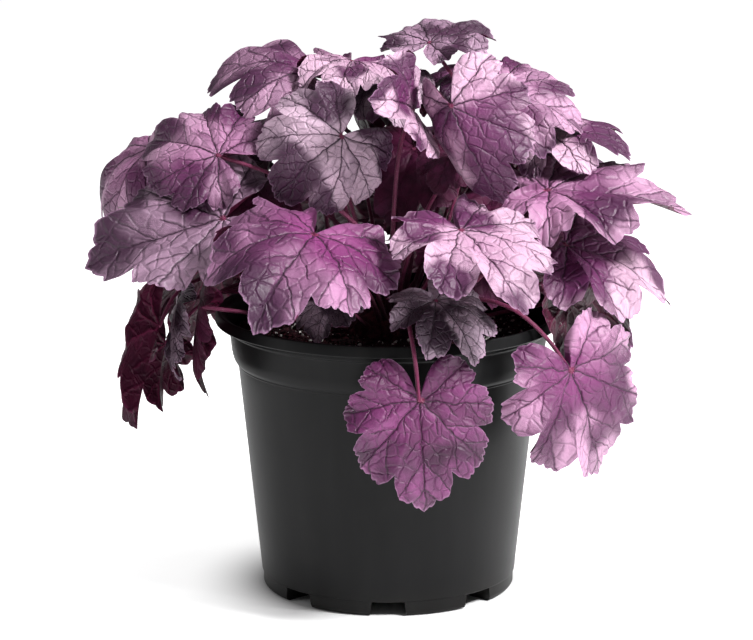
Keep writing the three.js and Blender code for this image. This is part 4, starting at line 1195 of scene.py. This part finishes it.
def stalk_skin():
    material, shader, start = new_material("stalk_skin", Specular_IOR_Level=0.4, Sheen_Weight=0.12)
    plan = start.make("ShaderNodeUVMap", {"uv_map": "LeafPlan"})
    stretch = {"Vector": plan, "Scale": (3.0, 14.0, 1.0)}
    streak = start.noise(start.make("ShaderNodeMapping", None, stretch), 3.0)
    hairs = start.noise(start.place(), 1500.0, 2.0)
    along = plan.part(0)
    colour = streak.ease(0.3, 0.7).choose(tint("4A0C28"), tint("862458"))
    colour = (along.ease(0.35, 0.0) * 0.7).choose(colour, tint("3A1220"))
    feed(shader, Base_Color=(hairs.ease(0.62, 0.72) * 0.25).choose(colour, tint("C9A3B4")))
    feed(shader, Roughness=0.4 + 0.2 * streak)
    feed(shader, Normal=bump(start, streak + 0.3 * hairs, 0.0003))
    return material


LOWER_SKINS = [lower_face(), stalk_skin()]
print("leaf finishes:", [m.name for m in (UPPER_SKIN, SHADED_SKIN, *LOWER_SKINS)])

# %% [markdown]
# ## Growing the leaves
# No two leaves age alike. A few named looks set how much silver, grey, dark wine red and magenta a leaf
# has; on the leaves deep inside the mound the wine red is painted shade. Each leaf also gets a seed of its
# own that shifts its veins and mottling. Picking the looks at random would be shorter, but neighbours of
# different looks are what makes the mound read as single leaves.

# %% Looks of the leaves
# Shares of silver, grey, dark wine red and magenta flush. The wine red is the own colour of the wine
# leaves and painted shade on the leaves deep inside the mound.
LOOKS = {
    "pale": (1.0, 0.0, 0.0, 0.5),
    "silver": (1.0, 0.45, 0.0, 0.0),
    "pink": (0.65, 0.0, 0.0, 0.6),
    "rose": (0.40, 0.0, 0.0, 1.0),
    "plum": (0.20, 0.05, 0.0, 0.3),
    "deep": (0.0, 0.0, 0.15, 0.5),
    "grey": (0.55, 0.80, 0.0, 0.0),
    "ash": (0.45, 0.45, 0.05, 0.2),
    "wine": (0.10, 0.0, 1.0, 0.2),
    # The same wine red as painted shade, for the leaves deep inside the mound.
    "dusk": (0.10, 0.0, 0.92, 0.2),
}
LOOK_OF = {
    "pale": ["middle_3", "middle_4", "top_2", "top_4", "top_5", "top_8", "upper_3"],
    "silver": ["top_6", "top_10", "lower_9"],
    "pink": [
        "top_3", "top_7", "upper_1", "upper_4", "upper_5", "upper_6", "middle_5", "middle_8", "hanging_2",
    ],
    "rose": ["middle_2", "middle_7"],
    "deep": ["hanging_1", "upper_2", "top_9", "lower_7"],
    "ash": ["top_1", "middle_1", "upper_7", "lower_8"],
    "grey": ["lower_1", "young_1", "lower_2"],
    "wine": ["lower_3", "lower_4", "lower_5", "lower_6"],
    # Leaves deep inside the mound, painted dark wine red as painted shade.
    "dusk": [*(f"inner_{k}" for k in range(1, 8)), "young_2", "middle_10"],
}
DEFAULT_LOOK = "plum"


def look_of(name):
    for look, names in LOOK_OF.items():
        if name in names:
            return LOOKS[look]
    return LOOKS[DEFAULT_LOOK]


print("leaves in the usual look:", len(LEAVES) - sum(map(len, LOOK_OF.values())))

# %% [markdown]
# ## One leaf, one piece
# Blade and stalk go into one mesh with three materials, and the doubled points along the edge, where the
# two skins meet, are welded. Each leaf could have its own materials, but here each point carries its place
# in the flat plan, its share of the way to the edge, and the leaf's look and seed, so one set of materials
# serves all fifty leaves. A second map gives every face its own room on a square, for whoever wants to bake
# the colours: the skins side by side, the stalk above them.

# %% Build every leaf
SKIN_ROOM = (0.48, 0.80)
SKIN_CORNERS = ((0.01, 0.01), (0.51, 0.01))
STALK_ROOM = (0.98, 0.14)
STALK_CORNER = (0.01, 0.84)
WELD = 1e-6
GOLDEN_STEP = 0.618034
SHADED_FROM = 0.5


def grow(name, leaf, seed):
    skin_points, upper, lower, plan, edge = blade(leaf, seed)
    stalk_points, stalk_quads, stalk_triangles, stalk_plan = stalk(name, leaf)
    points = np.vstack([skin_points @ axes(leaf) + leaf["at"], stalk_points])
    first = len(skin_points)
    quads = np.vstack([upper[0], lower[0], stalk_quads + first])
    triangles = np.vstack([upper[1], lower[1], stalk_triangles + first])
    parts = (upper[0], lower[0], stalk_quads, upper[1], lower[1], stalk_triangles)
    slots = np.concatenate([np.full(len(part), k % 3) for k, part in enumerate(parts)])

    low, high = plan.min(0), plan.max(0)
    fitted = (plan - low) / (high - low)
    bake = [fitted * SKIN_ROOM + corner for corner in SKIN_CORNERS]
    bake = np.vstack([*bake, stalk_plan * STALK_ROOM + STALK_CORNER])
    leaf_plan = np.vstack([0.5 + PLAN_ZOOM * plan, 0.5 + PLAN_ZOOM * plan, stalk_plan])
    maps = {"LeafPlan": leaf_plan, "OFBake": bake}

    count = len(points)
    *look, flush = look_of(name)
    layers = {
        "edge": np.r_[edge, edge, np.zeros(len(stalk_points))],
        "seed": np.full(count, seed),
        "look": np.tile(look, (count, 1)),
        "flush": np.full(count, flush),
    }
    skins = [SHADED_SKIN if look[2] > SHADED_FROM else UPPER_SKIN, *LOWER_SKINS]
    piece = mesh_object(f"fine_{name}", points * MM, quads, triangles, skins, slots, maps, layers)
    shape = bmesh.new()
    shape.from_mesh(piece.data)
    bmesh.ops.remove_doubles(shape, verts=shape.verts, dist=WELD)
    shape.to_mesh(piece.data)
    shape.free()
    smooth(piece)
    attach(piece, "root")
    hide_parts(f"leaf_{name}")
    return piece


faces = 0
for number, (name, leaf) in enumerate(LEAVES.items()):
    faces += len(grow(name, leaf, (number * GOLDEN_STEP) % 1.0).data.polygons)
print("faces in the leaves:", faces)

# %% [markdown]
# ## Sizes and the end
# The size of everything that is shown is printed at the end.

# %% Sizes and the end
low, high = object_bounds()
print("dressed:", [round(b - a, 4) for a, b in zip(low, high)])
